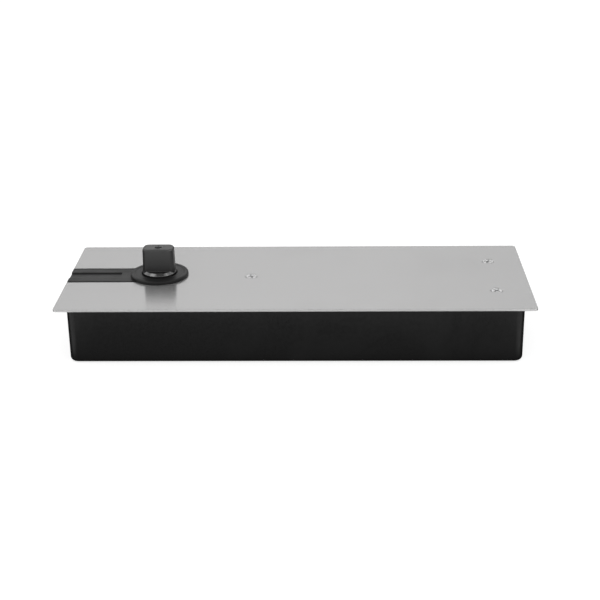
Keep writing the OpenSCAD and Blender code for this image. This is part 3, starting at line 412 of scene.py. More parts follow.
spindle_low, spindle_high = (Vector(corner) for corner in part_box("spindle"))
spindle_x, spindle_y, _ = (spindle_low + spindle_high) / 2
spindle_axis = (spindle_x, spindle_y)
spindle_steel = make_steel("spindle_steel", grey(0.057), grey(0.074), 0.36,
                           axis=spindle_axis, wear=0.25)
# The thread's paler grey is painted light: it lifts the shade deep in the hole.
thread_painted_light_steel = make_steel("thread_painted_light_steel", grey(0.13), grey(0.17), 0.50,
                          axis=spindle_axis, wear=0.15)
neck_steel = make_steel("neck_steel", grey(0.10), grey(0.14), 0.22,
                        axis=spindle_axis, wear=0.2)
ground_steel = make_steel("ground_steel", grey(0.48), grey(0.56), 0.26)
zinc_steel = make_steel("zinc_steel", grey(0.40, -0.02), grey(0.50, -0.03), 0.34)
yoke_steel = make_steel("yoke_steel", grey(0.28), grey(0.36), 0.38)
spring_steel = make_steel("spring_steel", grey(0.13), grey(0.19), 0.35)
stainless_screw = make_steel("stainless_screw", grey(0.44), grey(0.52), 0.24, 8.0)
print("spindle axis at", round(spindle_x / MM, 2), "and", round(spindle_y / MM, 2), "mm")

# %% [markdown]
# ## Cast iron, brass, bronze and fibre
# The parts under the cover are never polished. The body and lid are cast iron with a sandy
# skin, the valves are turned brass, the bushes sintered bronze, and the gasket pressed fibre.

# %% Finishes of the mechanism
def make_cast_body():
    f = Finish("cast_body", Metallic=0.6)
    sand = f.place(surface_grain, Grain_mm=0.9, Softness=0.75)
    stains = f.place(handling_marks, Size_mm=25.0, Coverage=0.5)
    worn = f.place(edge_wear, Reach=0.6, Patch_mm=2.5)
    colour = f.mix(sand["Tone"], grey(0.075), grey(0.12))
    colour = f.mix(stains["Mask"], colour, (0.07, 0.062, 0.05))
    colour = f.mix(worn["Mask"], colour, grey(0.35))
    rough = f.remap(sand["Tone"], 0, 1, 0.5, 0.68)
    return f.feed(Base_Color=colour, Roughness=rough, Normal=f.bump(sand["Height"], 0.08))


def make_yellow_metal(name, low, high, roughness):
    f = Finish(name, Metallic=1.0)
    turned = f.place(turning_marks, Rings_per_mm=6.0)
    tarnish = f.place(handling_marks, Size_mm=4.0, Coverage=0.5)
    colour = f.mix(turned["Tone"], low, high)
    colour = f.mix(f.math("MULTIPLY", tarnish["Mask"], 0.5), colour,
                   tuple(0.5 * v for v in low))
    rough = f.remap(turned["Tone"], 0, 1, roughness - 0.05, roughness + 0.06)
    return f.feed(Base_Color=colour, Roughness=rough, Normal=f.bump(turned["Height"], 0.003))


def make_plain_coat(name, low, high, roughness, grain_mm):
    f = Finish(name)
    grain = f.place(surface_grain, Grain_mm=grain_mm, Softness=0.7)
    worn = f.place(edge_wear, Reach=0.4, Patch_mm=2.0)
    colour = f.mix(grain["Tone"], low, high)
    colour = f.mix(worn["Mask"], colour, tuple(2.0 * v for v in high))
    rough = f.remap(grain["Tone"], 0, 1, roughness - 0.06, roughness + 0.06)
    return f.feed(Base_Color=colour, Roughness=rough, Normal=f.bump(grain["Height"], 0.03))


cast_body = make_cast_body()
valve_brass = make_yellow_metal("valve_brass", (0.50, 0.33, 0.10), (0.62, 0.43, 0.16), 0.28)
bearing_bronze = make_yellow_metal("bearing_bronze", (0.40, 0.24, 0.09), (0.50, 0.32, 0.13), 0.42)
gasket_fibre = make_plain_coat("gasket_fibre", (0.20, 0.13, 0.075), (0.28, 0.19, 0.11), 0.8, 0.4)
bracket_steel = make_plain_coat("bracket_steel", grey(0.02), grey(0.032), 0.4, 0.8)
print("finishes of the mechanism:", cast_body.name, valve_brass.name, bearing_bronze.name)

# %% [markdown]
# ## Shapes from outlines
# Nearly every part of the closer is an outline with thickness, or a profile turned round an
# axis. Both are walls between rows of points, so one helper that joins rows does for all.
# Edges are rounded as part of the rows, which keeps them even where a bevel modifier would
# stumble over tight corners.

# %% Outlines
def arc(centre, radius, start, end, steps):
    """Points on an arc, from one angle to another, in degrees."""
    turn = [math.radians(start + (end - start) * i / steps) for i in range(steps + 1)]
    return [Vector((centre[0] + radius * math.cos(a), centre[1] + radius * math.sin(a)))
            for a in turn]


def soft_outline(corners, steps=5):
    """A closed outline from (x, y, radius) corners, each rounded by an arc of its radius."""
    points = []
    for i, (x, y, radius) in enumerate(corners):
        here = Vector((x, y))
        if not radius:
            points.append(here)
            continue
        back = (Vector(corners[i - 1][:2]) - here).normalized()
        on = (Vector(corners[(i + 1) % len(corners)][:2]) - here).normalized()
        half = back.angle(on) / 2
        centre = here + (back + on).normalized() * radius / math.sin(half)
        first = here + back * radius / math.tan(half) - centre
        last = here + on * radius / math.tan(half) - centre
        points += [centre + radius * first.slerp(last, k / steps) for k in range(steps + 1)]
    return points


def inset(outline, distance):
    """The same closed anticlockwise outline, moved inwards by a distance."""
    moved = []
    for i, point in enumerate(outline):
        before = (point - outline[i - 1]).normalized()
        after = (outline[(i + 1) % len(outline)] - point).normalized()
        first = Vector((-before.y, before.x))
        mitre = (first + Vector((-after.y, after.x))).normalized()
        moved.append(point + mitre * distance / max(mitre.dot(first), 0.3))
    return moved


def quarter_turn(steps):
    """Angles from 0 to 90 degrees in even steps, for a rounded edge."""
    return [math.pi / 2 * i / steps for i in range(steps + 1)]


def edge_levels(bottom, top, bottom_round, top_round, steps=4):
    """(inset, height) of each row of a wall whose lower and upper edges are round."""
    turn = quarter_turn(steps)
    low = [(bottom_round * (1 - math.sin(a)), bottom + bottom_round * (1 - math.cos(a)))
           for a in turn]
    high = [(top_round * (1 - math.cos(a)), top - top_round * (1 - math.sin(a))) for a in turn]
    return low + high


print("a 10 mm square with 2 mm corners has",
      len(soft_outline([(0, 0, 2), (10, 0, 2), (10, 10, 2), (0, 10, 2)])), "points")

# %% Walls between rows of points
def wall(bm, rows, closed=False):
    """Joins rows of points into a wall, and returns the rows as mesh vertices. A closed wall
    also joins its last row to its first."""
    made = [[bm.verts.new(point) for point in row] for row in rows]
    for low, high in zip(made, made[1:] + ([made[0]] if closed else [])):
        for i in range(len(low)):
            j = (i + 1) % len(low)
            bm.faces.new((low[i], low[j], high[j], high[i]))
    return made


def outline_wall(bm, outline, levels):
    """The wall of an outline with thickness, from (inset, height) levels."""
    rows = [[(p.x, p.y, height) for p in inset(outline, depth)] for depth, height in levels]
    return wall(bm, rows)


def fill(bm, *loops):
    """A flat face with holes, between closed loops of vertices."""
    edges = []
    for loop in loops:
        for i, vertex in enumerate(loop):
            pair = (vertex, loop[(i + 1) % len(loop)])
            edges.append(bm.edges.get(pair) or bm.edges.new(pair))
    bmesh.ops.triangle_fill(bm, use_beauty=True, edges=edges)


def turned_wall(bm, profile, x, y, steps, closed=False):
    """A profile of (radius, height) points turned round an upright axis."""
    turn = [2 * math.pi * i / steps for i in range(steps)]
    rows = [[(x + radius * math.cos(a), y + radius * math.sin(a), height) for a in turn]
            for radius, height in profile]
    return wall(bm, rows, closed)


print("ready: wall, outline_wall, fill, turned_wall")

# %% From mesh to piece
def finish_piece(name, bm, material, node, body="housing", grain=False):
    """Makes a piece of the mesh, gives it its finish and lets it stand for its CAD node."""
    bmesh.ops.recalc_face_normals(bm, faces=bm.faces)
    mesh = bpy.data.meshes.new(name)
    bm.to_mesh(mesh)
    bm.free()
    piece = bpy.data.objects.new(name, mesh)
    bpy.context.collection.objects.link(piece)
    mesh.materials.append(material)
    mesh.shade_smooth()
    even = piece.modifiers.new("even_normals", "WEIGHTED_NORMAL")
    even.weight = 100
    if grain:
        flat = mesh.uv_layers.new(name="grain")
        scale, middle = 3, 0.5
        for loop in mesh.loops:
            point = mesh.vertices[loop.vertex_index].co
            flat.data[loop.index].uv = (point.y * scale + middle, point.x * scale + middle)
    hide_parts(node)
    if body:
        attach(piece, body)
    print(name, "has", len(mesh.polygons), "faces")
    return piece


print("ready: finish_piece")

# %% [markdown]
# ## Cover plate
# The plate is one outline: a rectangle with small round corners, a slot open at its left end,
# and the spindle's hole at the slot's end. Its upper edges are rounded by 0.3 mm and its lower
# ones by half of that, as deburred sheet is. The upper round mirrors the bright floor ahead,
# which draws the thin bright line along the front edge. The screw holes are countersunk, and
# their rims are soft, so each screw sits in a small dish.

# %% Cover plate
plate_low, plate_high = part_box("cover_plate")
insert_low, insert_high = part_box("slot_insert")
ring_low, ring_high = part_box("spindle_ring")
plate_bottom, plate_top = plate_low[2], plate_high[2]
ring_radius = (ring_high[0] - ring_low[0]) / 2
fit_gap = 0.05 * MM
spigot_radius = 17.5 * MM
slot_half = 13.82 * MM
screw_places = [(-31.7 * MM, 0.0), (136.5 * MM, -28 * MM), (136.5 * MM, 28 * MM)]
head_radius = 4.0 * MM
shank_radius = 2.0 * MM


def plate_outline():
    left, right = plate_low[0], plate_high[0]
    front, back = plate_low[1], plate_high[1]
    corner = 2.5 * MM
    hole = spigot_radius + fit_gap
    mouth = math.degrees(math.asin(slot_half / hole))
    around_hole = arc(spindle_axis, hole, -180 + mouth, 180 - mouth, 72)
    points = soft_outline([(left, front, corner), (right, front, corner),
                           (right, back, corner), (left, back, corner)], 6)
    slot = [Vector((left, spindle_y + slot_half)), *around_hole[::-1],
            Vector((left, spindle_y - slot_half))]
    return points + slot


def build_cover_plate():
    bm = bmesh.new()
    lower_round, upper_round, rim = 0.15 * MM, 0.3 * MM, 0.55 * MM
    rows = outline_wall(bm, plate_outline(),
                        edge_levels(plate_bottom, plate_top, lower_round, upper_round))
    lower, upper = [rows[0]], [rows[-1]]
    mouth = head_radius + 2 * fit_gap
    profile = [(mouth - (plate_top - plate_bottom), plate_bottom)]
    profile += [(mouth + rim * (1 - math.cos(a)), plate_top - rim * (1 - math.sin(a)))
                for a in quarter_turn(5)[1:]]
    for x, y in screw_places:
        hole = turned_wall(bm, profile, x, y, 64)
        lower.append(hole[0])
        upper.append(hole[-1])
    fill(bm, *lower)
    fill(bm, *upper)
    return finish_piece("stainless_cover_plate", bm, stainless_cover, "cover_plate", grain=True)


cover_plate = build_cover_plate()
print(cover_plate.name, "is, in mm,",
      [round((high - low) / MM, 1) for low, high in zip(plate_low, plate_high)])

# %% [markdown]
# ## Cover screws
# Each screw is a countersunk head with a cross recess. A cross made of two crossed boxes looks
# stamped out with a cutter. A real one narrows towards its bottom and its arms have round
# ends, so the recess here is a cross outline that shrinks as it goes down.

# %% Cover screws
def cross_outline(reach, half_width, turned):
    """A cross with round arm ends and soft inner corners, turned by an angle."""
    corners = []
    for quarter in range(4):
        for along, side, radius in ((half_width, half_width, half_width * 0.35),
                                    (reach, half_width, half_width * 0.8),
                                    (reach, -half_width, half_width * 0.8)):
            a = math.radians(90 * quarter + turned)
            corners.append((along * math.cos(a) + side * math.sin(a),
                            along * math.sin(a) - side * math.cos(a), radius))
    return soft_outline(corners, 3)


def screw_profile(tip, top):
    """Radius and height from the screw's tip to the round rim of its head."""
    soft = 0.35 * MM
    cone, rim = head_radius - shank_radius, head_radius - soft * 0.6
    profile = [(shank_radius * 0.7, tip), (shank_radius, tip + 0.5 * MM),
               (shank_radius, top - cone), (rim, top - soft)]
    return profile + [(rim - soft * (1 - math.cos(a)), top - soft * (1 - math.sin(a)))
                      for a in quarter_turn(4)[1:]]


def build_cover_screws():
    bm = bmesh.new()
    top = plate_top - 0.05 * MM
    profile = screw_profile(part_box("cover_screws")[0][2], top)
    reach_mm, half_width_mm = 2.35, 0.62
    shrink_and_depth_mm = ((0.0, 0.0), (0.06, 0.12), (0.12, 0.6), (0.30, 1.7))
    for (x, y), turned in zip(screw_places, (20, 45, 70)):
        rows = turned_wall(bm, profile, x, y, 48)
        fill(bm, rows[0])
        recess = []
        for shrink, depth in shrink_and_depth_mm:
            outline = cross_outline((reach_mm - shrink) * MM, (half_width_mm - shrink) * MM,
                                    turned)
            recess.append([(x + p.x, y + p.y, top - depth * MM) for p in outline])
        sides = wall(bm, recess)
        fill(bm, rows[-1], sides[0])
        fill(bm, sides[-1])
    return finish_piece("cross_recess_screws", bm, stainless_screw, "cover_screws")


cover_screws = build_cover_screws()
print(cover_screws.name, "stand at x, in mm,", [round(x / MM, 1) for x, _ in screw_places])

# %% [markdown]
# ## Slot insert
# The strip that closes the slot is level with the plate. It has a low step along both long
# edges, a shallow channel along its middle and a thin lip that hooks under the plate. Three
# slabs make it, the lip, the web in the slot and the rail between the steps, and a boolean cuts
# the channel out of them. A boolean's edges come out sharp, so the cutter itself carries the
# round: it flares where it leaves the strip.

# %% Cutting and joining solids
def solid_object(bm, name):
    mesh = bpy.data.meshes.new(name)
    bmesh.ops.recalc_face_normals(bm, faces=bm.faces)
    bm.to_mesh(mesh)
    bm.free()
    made = bpy.data.objects.new(name, mesh)
    bpy.context.collection.objects.link(made)
    return made


def combine(first, second, operation):
    """Joins or cuts two closed meshes and returns the result as one mesh."""
    blank, tool = solid_object(first, "blank"), solid_object(second, "tool")
    cut = blank.modifiers.new("cut", "BOOLEAN")
    cut.object, cut.operation, cut.solver = tool, operation, "EXACT"
    result = bmesh.new()
    result.from_object(blank, bpy.context.evaluated_depsgraph_get())
    for made in (blank, tool):
        bpy.data.meshes.remove(made.data)
    return result


def slab(outline, levels):
    """A closed solid: an outline with thickness and round edges."""
    bm = bmesh.new()
    rows = outline_wall(bm, outline, levels)
    fill(bm, rows[0])
    fill(bm, rows[-1])
    return bm


print("ready: solid_object, combine, slab")

# %% Slot insert
def strip_outline(left, half_width, end_radius):
    """A strip from the left edge to a hollow end that fits round the spindle's ring."""
    mouth = math.degrees(math.asin(half_width / end_radius))
    hollow = arc(spindle_axis, end_radius, 180 + mouth, 180 - mouth, 24)
    return [Vector((left, spindle_y - half_width)), *hollow,
            Vector((left, spindle_y + half_width))]


def build_slot_insert():
    lip_half, lip_start, lip_hollow = (insert_high[1] - insert_low[1]) / 2, 9.0 * MM, 19.6 * MM
    strip_half = slot_half - 0.02 * MM
    hollow = spigot_radius + 4 * fit_gap
    step, step_z = 1.3 * MM, plate_top - 0.5 * MM
    overlap, sharp = 0.2 * MM, 0.02 * MM
    under = slab(strip_outline(plate_low[0] + lip_start, lip_half, lip_hollow),
                 edge_levels(insert_low[2], plate_bottom, 0.15 * MM, 0.05 * MM, 2))
    web = slab(strip_outline(plate_low[0], strip_half, hollow),
               edge_levels(plate_bottom - overlap, step_z, sharp, 0.1 * MM, 2))
    rail = slab(strip_outline(plate_low[0], strip_half - step, hollow),
                edge_levels(step_z - overlap, plate_top, sharp, 0.2 * MM))
    channel_half, soft = 5.0 * MM, 0.2 * MM
    channel_end = spindle_x - ring_radius - 6.9 * MM
    floor = plate_top - 1.1 * MM
    turn = quarter_turn(4)
    levels = [(soft * (1 - math.sin(a)), floor + soft * (1 - math.cos(a))) for a in turn]
    levels += [(-soft * (1 - math.cos(a)), plate_top - soft * (1 - math.sin(a))) for a in turn]
    levels += [(-soft, plate_top + 1 * MM)]
    left, front, back = plate_low[0] - 5 * MM, spindle_y - channel_half, spindle_y + channel_half
    channel = slab(soft_outline([(left, front, 0), (channel_end, front, 1 * MM),
                                 (channel_end, back, 1 * MM), (left, back, 0)]), levels)
    bm = combine(combine(combine(under, web, "UNION"), rail, "UNION"), channel, "DIFFERENCE")
    bmesh.ops.remove_doubles(bm, verts=bm.verts, dist=0.002 * MM)
    return finish_piece("slot_insert_strip", bm, insert_plastic, "slot_insert")


slot_insert = build_slot_insert()
print(slot_insert.name, "fills a slot", round(2 * slot_half / MM, 1), "mm wide")

# %% [markdown]
# ## Spindle ring
# The ring is a moulded washer with a spigot that drops through the plate. A profile turned
# round the spindle's axis gives it, with generous rounds outside and a small one inside.

# %% Spindle ring
def build_spindle_ring():
    bm = bmesh.new()
    bore, dish, top = 12.25 * MM, 0.3 * MM, ring_high[2]
    profile = soft_outline([
        (bore, plate_bottom, 0.2 * MM), (spigot_radius, plate_bottom, 0.3 * MM),
        (spigot_radius, plate_top, 0), (ring_radius, plate_top, 0.15 * MM),
        (ring_radius, top, 1.2 * MM), (ring_radius - 2.6 * MM, top, 0.4 * MM),
        (ring_radius - 3.2 * MM, top - dish, 0.4 * MM), (bore + 0.5 * MM, top - dish, 0.2 * MM),
        (bore, top - dish - 0.4 * MM, 0.2 * MM)], 6)
    turned_wall(bm, profile, spindle_x, spindle_y, steps=160, closed=True)
    return finish_piece("ring_round_spindle", bm, ring_rubber, "spindle_ring")


spindle_ring = build_spindle_ring()
print(spindle_ring.name, "is", round(2 * ring_radius / MM, 1), "mm across")

# %% [markdown]
# ## Spindle
# From below, the spindle is a journal, a seat with two flats for the cam and a groove for its
# snap ring, the round neck, and the tapered block that enters the door's arm. All of these are
# star-shaped round the axis: a ray at any angle leaves each of them once. So one set of rays,
# long enough to reach each outline in turn, gives rows that match, and the whole spindle is a
# single wall.

# %% Rays round the spindle's axis
ray_count, tiny = 192, 1e-6
rays = [2 * math.pi * i / ray_count for i in range(ray_count)]
neck_radius, neck_chamfer, neck_top = 11.8 * MM, 1.6 * MM, plate_top + 4.8 * MM


def ray_row(reach, height):
    """A row of points that lie as far along each ray as a list says."""
    return [(spindle_x + far * math.cos(a), spindle_y + far * math.sin(a), height)
            for a, far in zip(rays, reach)]


def round_row(radius, height):
    return ray_row([radius] * len(rays), height)


def flatted_row(radius, half_flats, height):
    """A circle cut by two flats that face front and back."""
    return ray_row([min(radius, half_flats / max(abs(math.sin(a)), tiny)) for a in rays], height)


def block_reach(half_length, half_width, corner):
    """How far a rectangle with round corners reaches along each ray."""
    far = []
    for a in rays:
        c, s = abs(math.cos(a)), abs(math.sin(a))
        reach = min(half_length / max(c, tiny), half_width / max(s, tiny))
        centre = Vector((half_length - corner, half_width - corner))
        if reach * c > centre.x and reach * s > centre.y:
            along = centre.x * c + centre.y * s
            reach = along + math.sqrt(max(along ** 2 - centre.length_squared + corner ** 2, 0))
        far.append(reach)
    return far


print(ray_count, "rays, and a neck", round(2 * neck_radius / MM, 1), "mm across")

# %% Spindle
def eased(levels, soft, steps=3):
    """Levels of a stack, with each corner between two runs of it turned into a short curve."""
    points = [Vector(level) for level in levels]
    made = [points[0]]
    for before, corner, after in zip(points, points[1:], points[2:]):
        back, on = before - corner, after - corner
        first = corner + back * min(soft / back.length, 0.45)
        last = corner + on * min(soft / on.length, 0.45)
        for k in range(steps + 1):
            t = k / steps
            made.append(first * (1 - t) ** 2 + corner * 2 * t * (1 - t) + last * t ** 2)
    return made + [points[-1]]


def shaft_rows(bottom):
    """Rows of the journal and the cam's seat with its two flats, up to the neck's foot."""
    journal, seat, half_flats, groove = 8.0 * MM, 10.0 * MM, 8.5 * MM, 7.75 * MM
    seat_bottom, seat_top = 9.4 * MM, 21.6 * MM
    groove_bottom, groove_top = 12.38 * MM, 13.6 * MM
    rows = [round_row(journal - 0.7 * MM, bottom), round_row(journal, bottom + 0.7 * MM),
            round_row(journal, seat_bottom)]
    rows += [flatted_row(seat, half_flats, z) for z in (seat_bottom, groove_bottom)]
    rows += [round_row(groove, z) for z in (groove_bottom, groove_top)]
    rows += [flatted_row(seat, half_flats, z) for z in (groove_top, seat_top)]
    return rows + [round_row(neck_radius, seat_top)]


def neck_rows(foot):
    """Rows of the neck's cone, out of which the block's ends grow with a small fillet."""
    rows, fillet = [], 0.25 * MM
    cone = [(neck_radius, neck_top - neck_chamfer), (neck_radius - neck_chamfer, neck_top)]
    levels = eased([(neck_radius, neck_top - neck_chamfer - 1 * MM), *cone,
                    (neck_radius - neck_chamfer - 1 * MM, neck_top)], 0.15 * MM)[1:-1]
    between = [levels[3].lerp(levels[4], k / 8) for k in range(1, 8)]
    for radius, height in [*levels[:4], *between, *levels[4:]]:
        reach = [max(radius, far) + fillet * max(0, 1 - abs(radius - far) / fillet) ** 2 / 4
                 for far in foot]
        rows.append(ray_row([min(far, neck_radius) for far in reach], height))
    return rows


def threaded_hole_rows(top):
    """Rows of the hole in the block's top: a countersink, then rings for the thread's turns."""
    crest, root, pitch, depth, sunk = 2.5 * MM, 2.9 * MM, 1.0 * MM, 14 * MM, 0.6 * MM
    hole = [(3.3 * MM, top), (3.05 * MM, top - 0.08 * MM), (crest, top - sunk)]
    for turn in range(int((depth - 2 * pitch) / pitch)):
        z = top - sunk - turn * pitch
        hole += [(crest, z - 0.1 * pitch), (root, z - 0.5 * pitch), (crest, z - 0.9 * pitch)]
    hole += [(crest, top - depth), (0.4 * MM, top - depth)]
    return [round_row(radius, height) for radius, height in hole]


def block_and_fillet_rows(at_neck_top, shoulder, top):
    """Rows of the tapered block, from the fillet at its foot to the rim round its hole."""
    crown = (9.9 * MM, 5.45 * MM, 3.05 * MM, top)
    inner = (4.4 * MM, 4.0 * MM, 3.05 * MM, top)
    rows, base, fillet = [], block_reach(*at_neck_top[:3]), 0.3 * MM
    for a in quarter_turn(4):
        reach = [min(far + fillet * (1 - math.sin(a)), max(far, neck_radius - neck_chamfer))
                 for far in base]
        rows.append(ray_row(reach, neck_top + fillet * (1 - math.cos(a))))
    block = eased([at_neck_top, shoulder, crown, inner], 0.4 * MM)[1:-1]
    return rows + [ray_row(block_reach(*level[:3]), level[3]) for level in block]


def paint_neck_and_thread(piece):
    """Gives the neck and its cone their own steel, and the thread a paler one, painted light
    against the shade in the hole; face by face.
    """
    piece.data.materials.append(neck_steel)
    piece.data.materials.append(thread_painted_light_steel)
    near, hole_radius, neck_slot, painted_light_thread_slot = 0.1 * MM, 3.25 * MM, 1, 2
    for face in piece.data.polygons:
        z = face.center.z
        radius = math.hypot(face.center.x - spindle_x, face.center.y - spindle_y)
        cone = neck_radius - (z - neck_top + neck_chamfer)
        if z < neck_top and abs(radius - cone) < near:
            face.material_index = neck_slot
        elif plate_top < z < neck_top and abs(radius - neck_radius) < near:
            face.material_index = neck_slot
        elif z > neck_top and radius < hole_radius:
            face.material_index = painted_light_thread_slot


def build_spindle():
    bottom, top = spindle_low.z, spindle_high.z
    foot = (11.2 * MM, 6.3 * MM, 3.5 * MM, neck_top - neck_chamfer)
    shoulder = (10.8 * MM, 5.9 * MM, 3.5 * MM, top - 1.08 * MM)
    at_neck_top = Vector(foot).lerp(Vector(shoulder), neck_chamfer / (shoulder[3] - foot[3]))
    rows = shaft_rows(bottom) + neck_rows(block_reach(*at_neck_top[:3]))
    rows += block_and_fillet_rows(at_neck_top, shoulder, top) + threaded_hole_rows(top)
    bm = bmesh.new()
    made = wall(bm, rows)
    fill(bm, made[0])
    fill(bm, made[-1])
    piece = finish_piece("door_spindle", bm, spindle_steel, "spindle", "spindle")
    paint_neck_and_thread(piece)
    return piece


spindle = build_spindle()
print(spindle.name, "stands", round((spindle_high.z - plate_top) / MM, 1), "mm over the plate")

# %% [markdown]
# ## Case
# The case is drawn from one sheet, so its bottom edge and corners are round outside and in.
# Two walls of the same outline, one a sheet's thickness inside the other, make it.

# %% Case
def build_case():
    low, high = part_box("cement_case")
    sheet, corner, edge, lip = 1.5 * MM, 6 * MM, 3 * MM, 0.35 * MM
    outer = soft_outline([(low[0], low[1], corner), (high[0], low[1], corner),
                          (high[0], high[1], corner), (low[0], high[1], corner)], 12)
    turn = quarter_turn(8)
    outside = [(edge * (1 - math.sin(a)), low[2] + edge * (1 - math.cos(a))) for a in turn]
    outside += [(lip * (1 - math.cos(a)), high[2] - lip * (1 - math.sin(a))) for a in turn[::4]]
    inside_edge = edge - sheet
    inside = [(sheet + inside_edge * (1 - math.sin(a)),
               low[2] + sheet + inside_edge * (1 - math.cos(a))) for a in turn]
    inside += [(sheet, high[2])]
    bm = bmesh.new()
    rows = outline_wall(bm, outer, outside + inside[::-1])
    fill(bm, rows[0])
    fill(bm, rows[-1])
    return finish_piece("pressed_case", bm, case_paint, "cement_case")


case = build_case()

# %% [markdown]
# ## Closing springs
# Two coil springs push the carriage. They are swept round a helix whose end turns lie close
# together and are ground flat in the real thing. They stretch between the body's bulkhead and
# the crosshead, and neither is hung on a body.

# %% Springs
def build_spring(node, piece_name):
    low, high = (Vector(corner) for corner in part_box(node))
    wire = 3.8 * MM
    middle = (low + high) / 2
    mean = (high.y - low.y - wire) / 2
    length, turns, per_turn, sides = high.x - low.x, 9, 48, 16
    close = wire * 1.06  # the rise of an end turn, which almost touches its neighbour
    pitch = (length - wire - 2 * close) / turns
    rows = []
    for i in range((turns + 2) * per_turn + 1):
        turn = i / per_turn
        rise = (wire / 2 + min(turn, 1) * close + min(max(turn - 1, 0), turns) * pitch
                + max(turn - 1 - turns, 0) * close)
        a = 2 * math.pi * turn
        row = []
        for k in range(sides):
            b = 2 * math.pi * k / sides
            out = mean + wire / 2 * math.cos(b)
            row.append((low.x + rise + wire / 2 * math.sin(b), middle.y + out * math.cos(a),
                        middle.z + out * math.sin(a)))
        rows.append(row)
    bm = bmesh.new()
    made = wall(bm, rows)
    fill(bm, made[0])
    fill(bm, made[-1])
    piece = finish_piece(piece_name, bm, spring_steel, node, body=None)
    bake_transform(piece)
    return piece


front_spring = build_spring("closing_spring_front", "coil_spring_front")
rear_spring = build_spring("closing_spring_rear", "coil_spring_rear")
print("springs:", front_spring.name, rear_spring.name)

# %% [markdown]
# ## Finishes for the measured parts
# The parts that stay as they were measured keep their meshes, and take their finish by the
# record's slot names. All of them lie under the cover, where a good finish does more than a
# softer edge.

# %% Dress the mechanism
finishes = {finish.name: finish for finish in (
    case_paint, bracket_steel, stainless_cover, stainless_screw, insert_plastic, ring_rubber,
    cast_body, zinc_steel, gasket_fibre, bearing_bronze, ground_steel, seal_rubber,
    spindle_steel, spring_steel, yoke_steel, valve_brass)}
slots = {part["node"]: part["material_slot"] for part in frame["record"]["subparts"]}
for node, part in frame["nodes"].items():
    for slot in part.material_slots:
        slot.material = finishes[slots[node]]
print("dressed", len(slots), "measured parts in", len(set(slots.values())), "finishes")

# %% [markdown]
# ## Light
# Steel shows what is round it more than it shows itself, so reflections get a sky and a floor
# of their own. The sky they see is dim near the horizon, brightest a third of the way up, where
# the plate mirrors it, and fades towards the zenith, which keeps the block dark. A soft patch
# straight overhead lights flat tops. Two soft boxes, left and right, brighten the neck's
# chamfer. The camera sees a plain white sky.

# %% Soft boxes
def soft_box(name, place, size, watts):
    lamp = bpy.data.lights.new(name, "AREA")
    lamp.shape, lamp.size, lamp.energy = "SQUARE", size, watts
    made = bpy.data.objects.new(name, lamp)
    bpy.context.collection.objects.link(made)
    made.location = place
    made.rotation_euler = (-Vector(place)).to_track_quat("-Z", "Y").to_euler()


box_size, box_watts = 0.5, 2.0
soft_box("soft_box_left", (-0.70, -0.30, 1.0), box_size, box_watts)
soft_box("soft_box_right", (0.70, -0.30, 1.0), box_size, box_watts)
print("two soft boxes of", box_watts, "watts")

# %% Sky
# Heights are the upward part of a direction: 0 at the horizon, 1 straight overhead.
band_foot, fade_upwards, overhead = (0.35, 0.37), (0.38, 0.9), (0.965, 0.985)
side_fade, side_middle, diffuse_strength = (0.06, 0.19), 0.04, 0.7
world = bpy.data.worlds.new("studio")
world.use_nodes = True
bpy.context.scene.world = world
sky = Tree(world.node_tree)
background = sky.nodes["Background"]
towards = sky.add("ShaderNodeSeparateXYZ", {
    "Vector": sky.add("ShaderNodeTexCoord").outputs["Generated"]}).outputs
height = towards["Z"]
beside = sky.math("ABSOLUTE", sky.math("ADD", towards["X"], side_middle))
ray = sky.add("ShaderNodeLightPath").outputs
seen_in_metal = sky.math("MULTIPLY", sky.remap(height, *band_foot, 0.25, 1.0),
                         sky.math("ADD", sky.remap(height, *fade_upwards, 2.2, 0.2),
                                  sky.remap(height, *overhead, 0.0, 0.6)))
seen_in_metal = sky.math("MULTIPLY", seen_in_metal, sky.remap(beside, *side_fade, 1.0, 0.93))
brightness = sky.math("ADD", sky.math("MULTIPLY", seen_in_metal, ray["Is Glossy Ray"]),
                      sky.math("MULTIPLY", diffuse_strength, ray["Is Diffuse Ray"]))
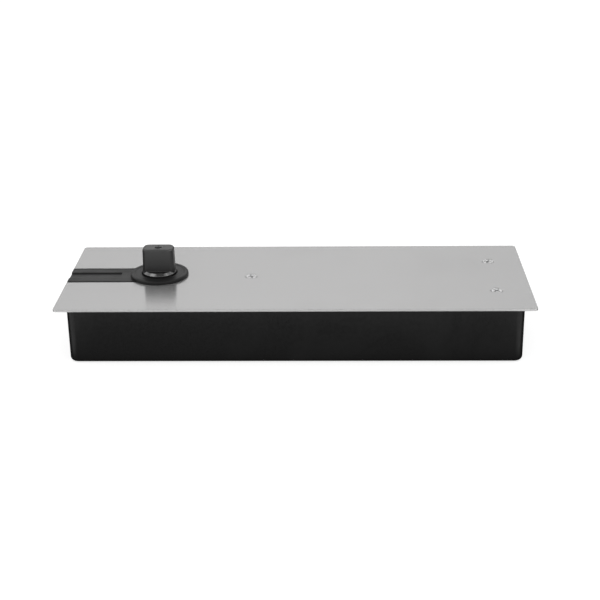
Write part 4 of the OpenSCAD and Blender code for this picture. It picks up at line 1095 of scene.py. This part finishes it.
sky.join(sky.math("MAXIMUM", brightness, ray["Is Camera Ray"]), background.inputs["Strength"])
background.inputs["Color"].default_value = (1, 1, 1, 1)
print("the sky has", len(sky.nodes), "nodes")

# %% [markdown]
# ## Floor
# The floor is plain and almost white, and keeps the closer's soft shadow. What a reflection
# sees of it is set apart, because a white floor all round would wash out the dark case. Only
# three zones glow there: a faint strip just ahead of the case, the open floor further ahead,
# and two patches beside the case's front corners, which draw the light line down each of them.

# %% Floor
floor_mesh = bpy.data.meshes.new("floor")
floor_half = 6.0
strip_ahead, open_floor = (-0.072, -0.052), (-0.155, -0.151)
beside_front, past_ends = (-0.061, -0.054), (0.153, 0.168)
floor_glow = 0.72
floor_mesh.from_pydata([(-floor_half, -floor_half, 0), (floor_half, -floor_half, 0),
                        (floor_half, floor_half, 0), (-floor_half, floor_half, 0)],
                       [], [(0, 1, 2, 3)])
floor = bpy.data.objects.new("floor", floor_mesh)
bpy.context.collection.objects.link(floor)
white = Finish("white_floor", Roughness=0.9, Specular_IOR_Level=0.0)
white.shader.inputs["Emission Color"].default_value = (1, 1, 1, 1)
place = white.add("ShaderNodeSeparateXYZ", {
    "Vector": white.add("ShaderNodeTexCoord").outputs["Object"]}).outputs
in_front = white.remap(place["Y"], *strip_ahead, 0.25, 0.0)
far_front = white.remap(place["Y"], *open_floor, 1.5, 0.0)
at_ends = white.math("MULTIPLY", white.remap(place["Y"], *beside_front, 1.0, 0.0),
                     white.remap(white.math("ABSOLUTE", place["X"]), *past_ends, 0.0, 1.2))
mirrored = white.math("MAXIMUM", in_front, white.math("MAXIMUM", far_front, at_ends))
glossy = white.add("ShaderNodeLightPath").outputs["Is Glossy Ray"]
white.feed(Emission_Strength=white.math(
    "ADD", white.math("MULTIPLY", glossy, mirrored),
    white.math("MULTIPLY", white.math("SUBTRACT", 1.0, glossy), floor_glow)))
white.feed(Base_Color=white.mix(glossy, (0.5, 0.5, 0.5), (0.0, 0.0, 0.0)))
floor_mesh.materials.append(white.material)
print("the floor's finish has", len(white.nodes), "nodes")
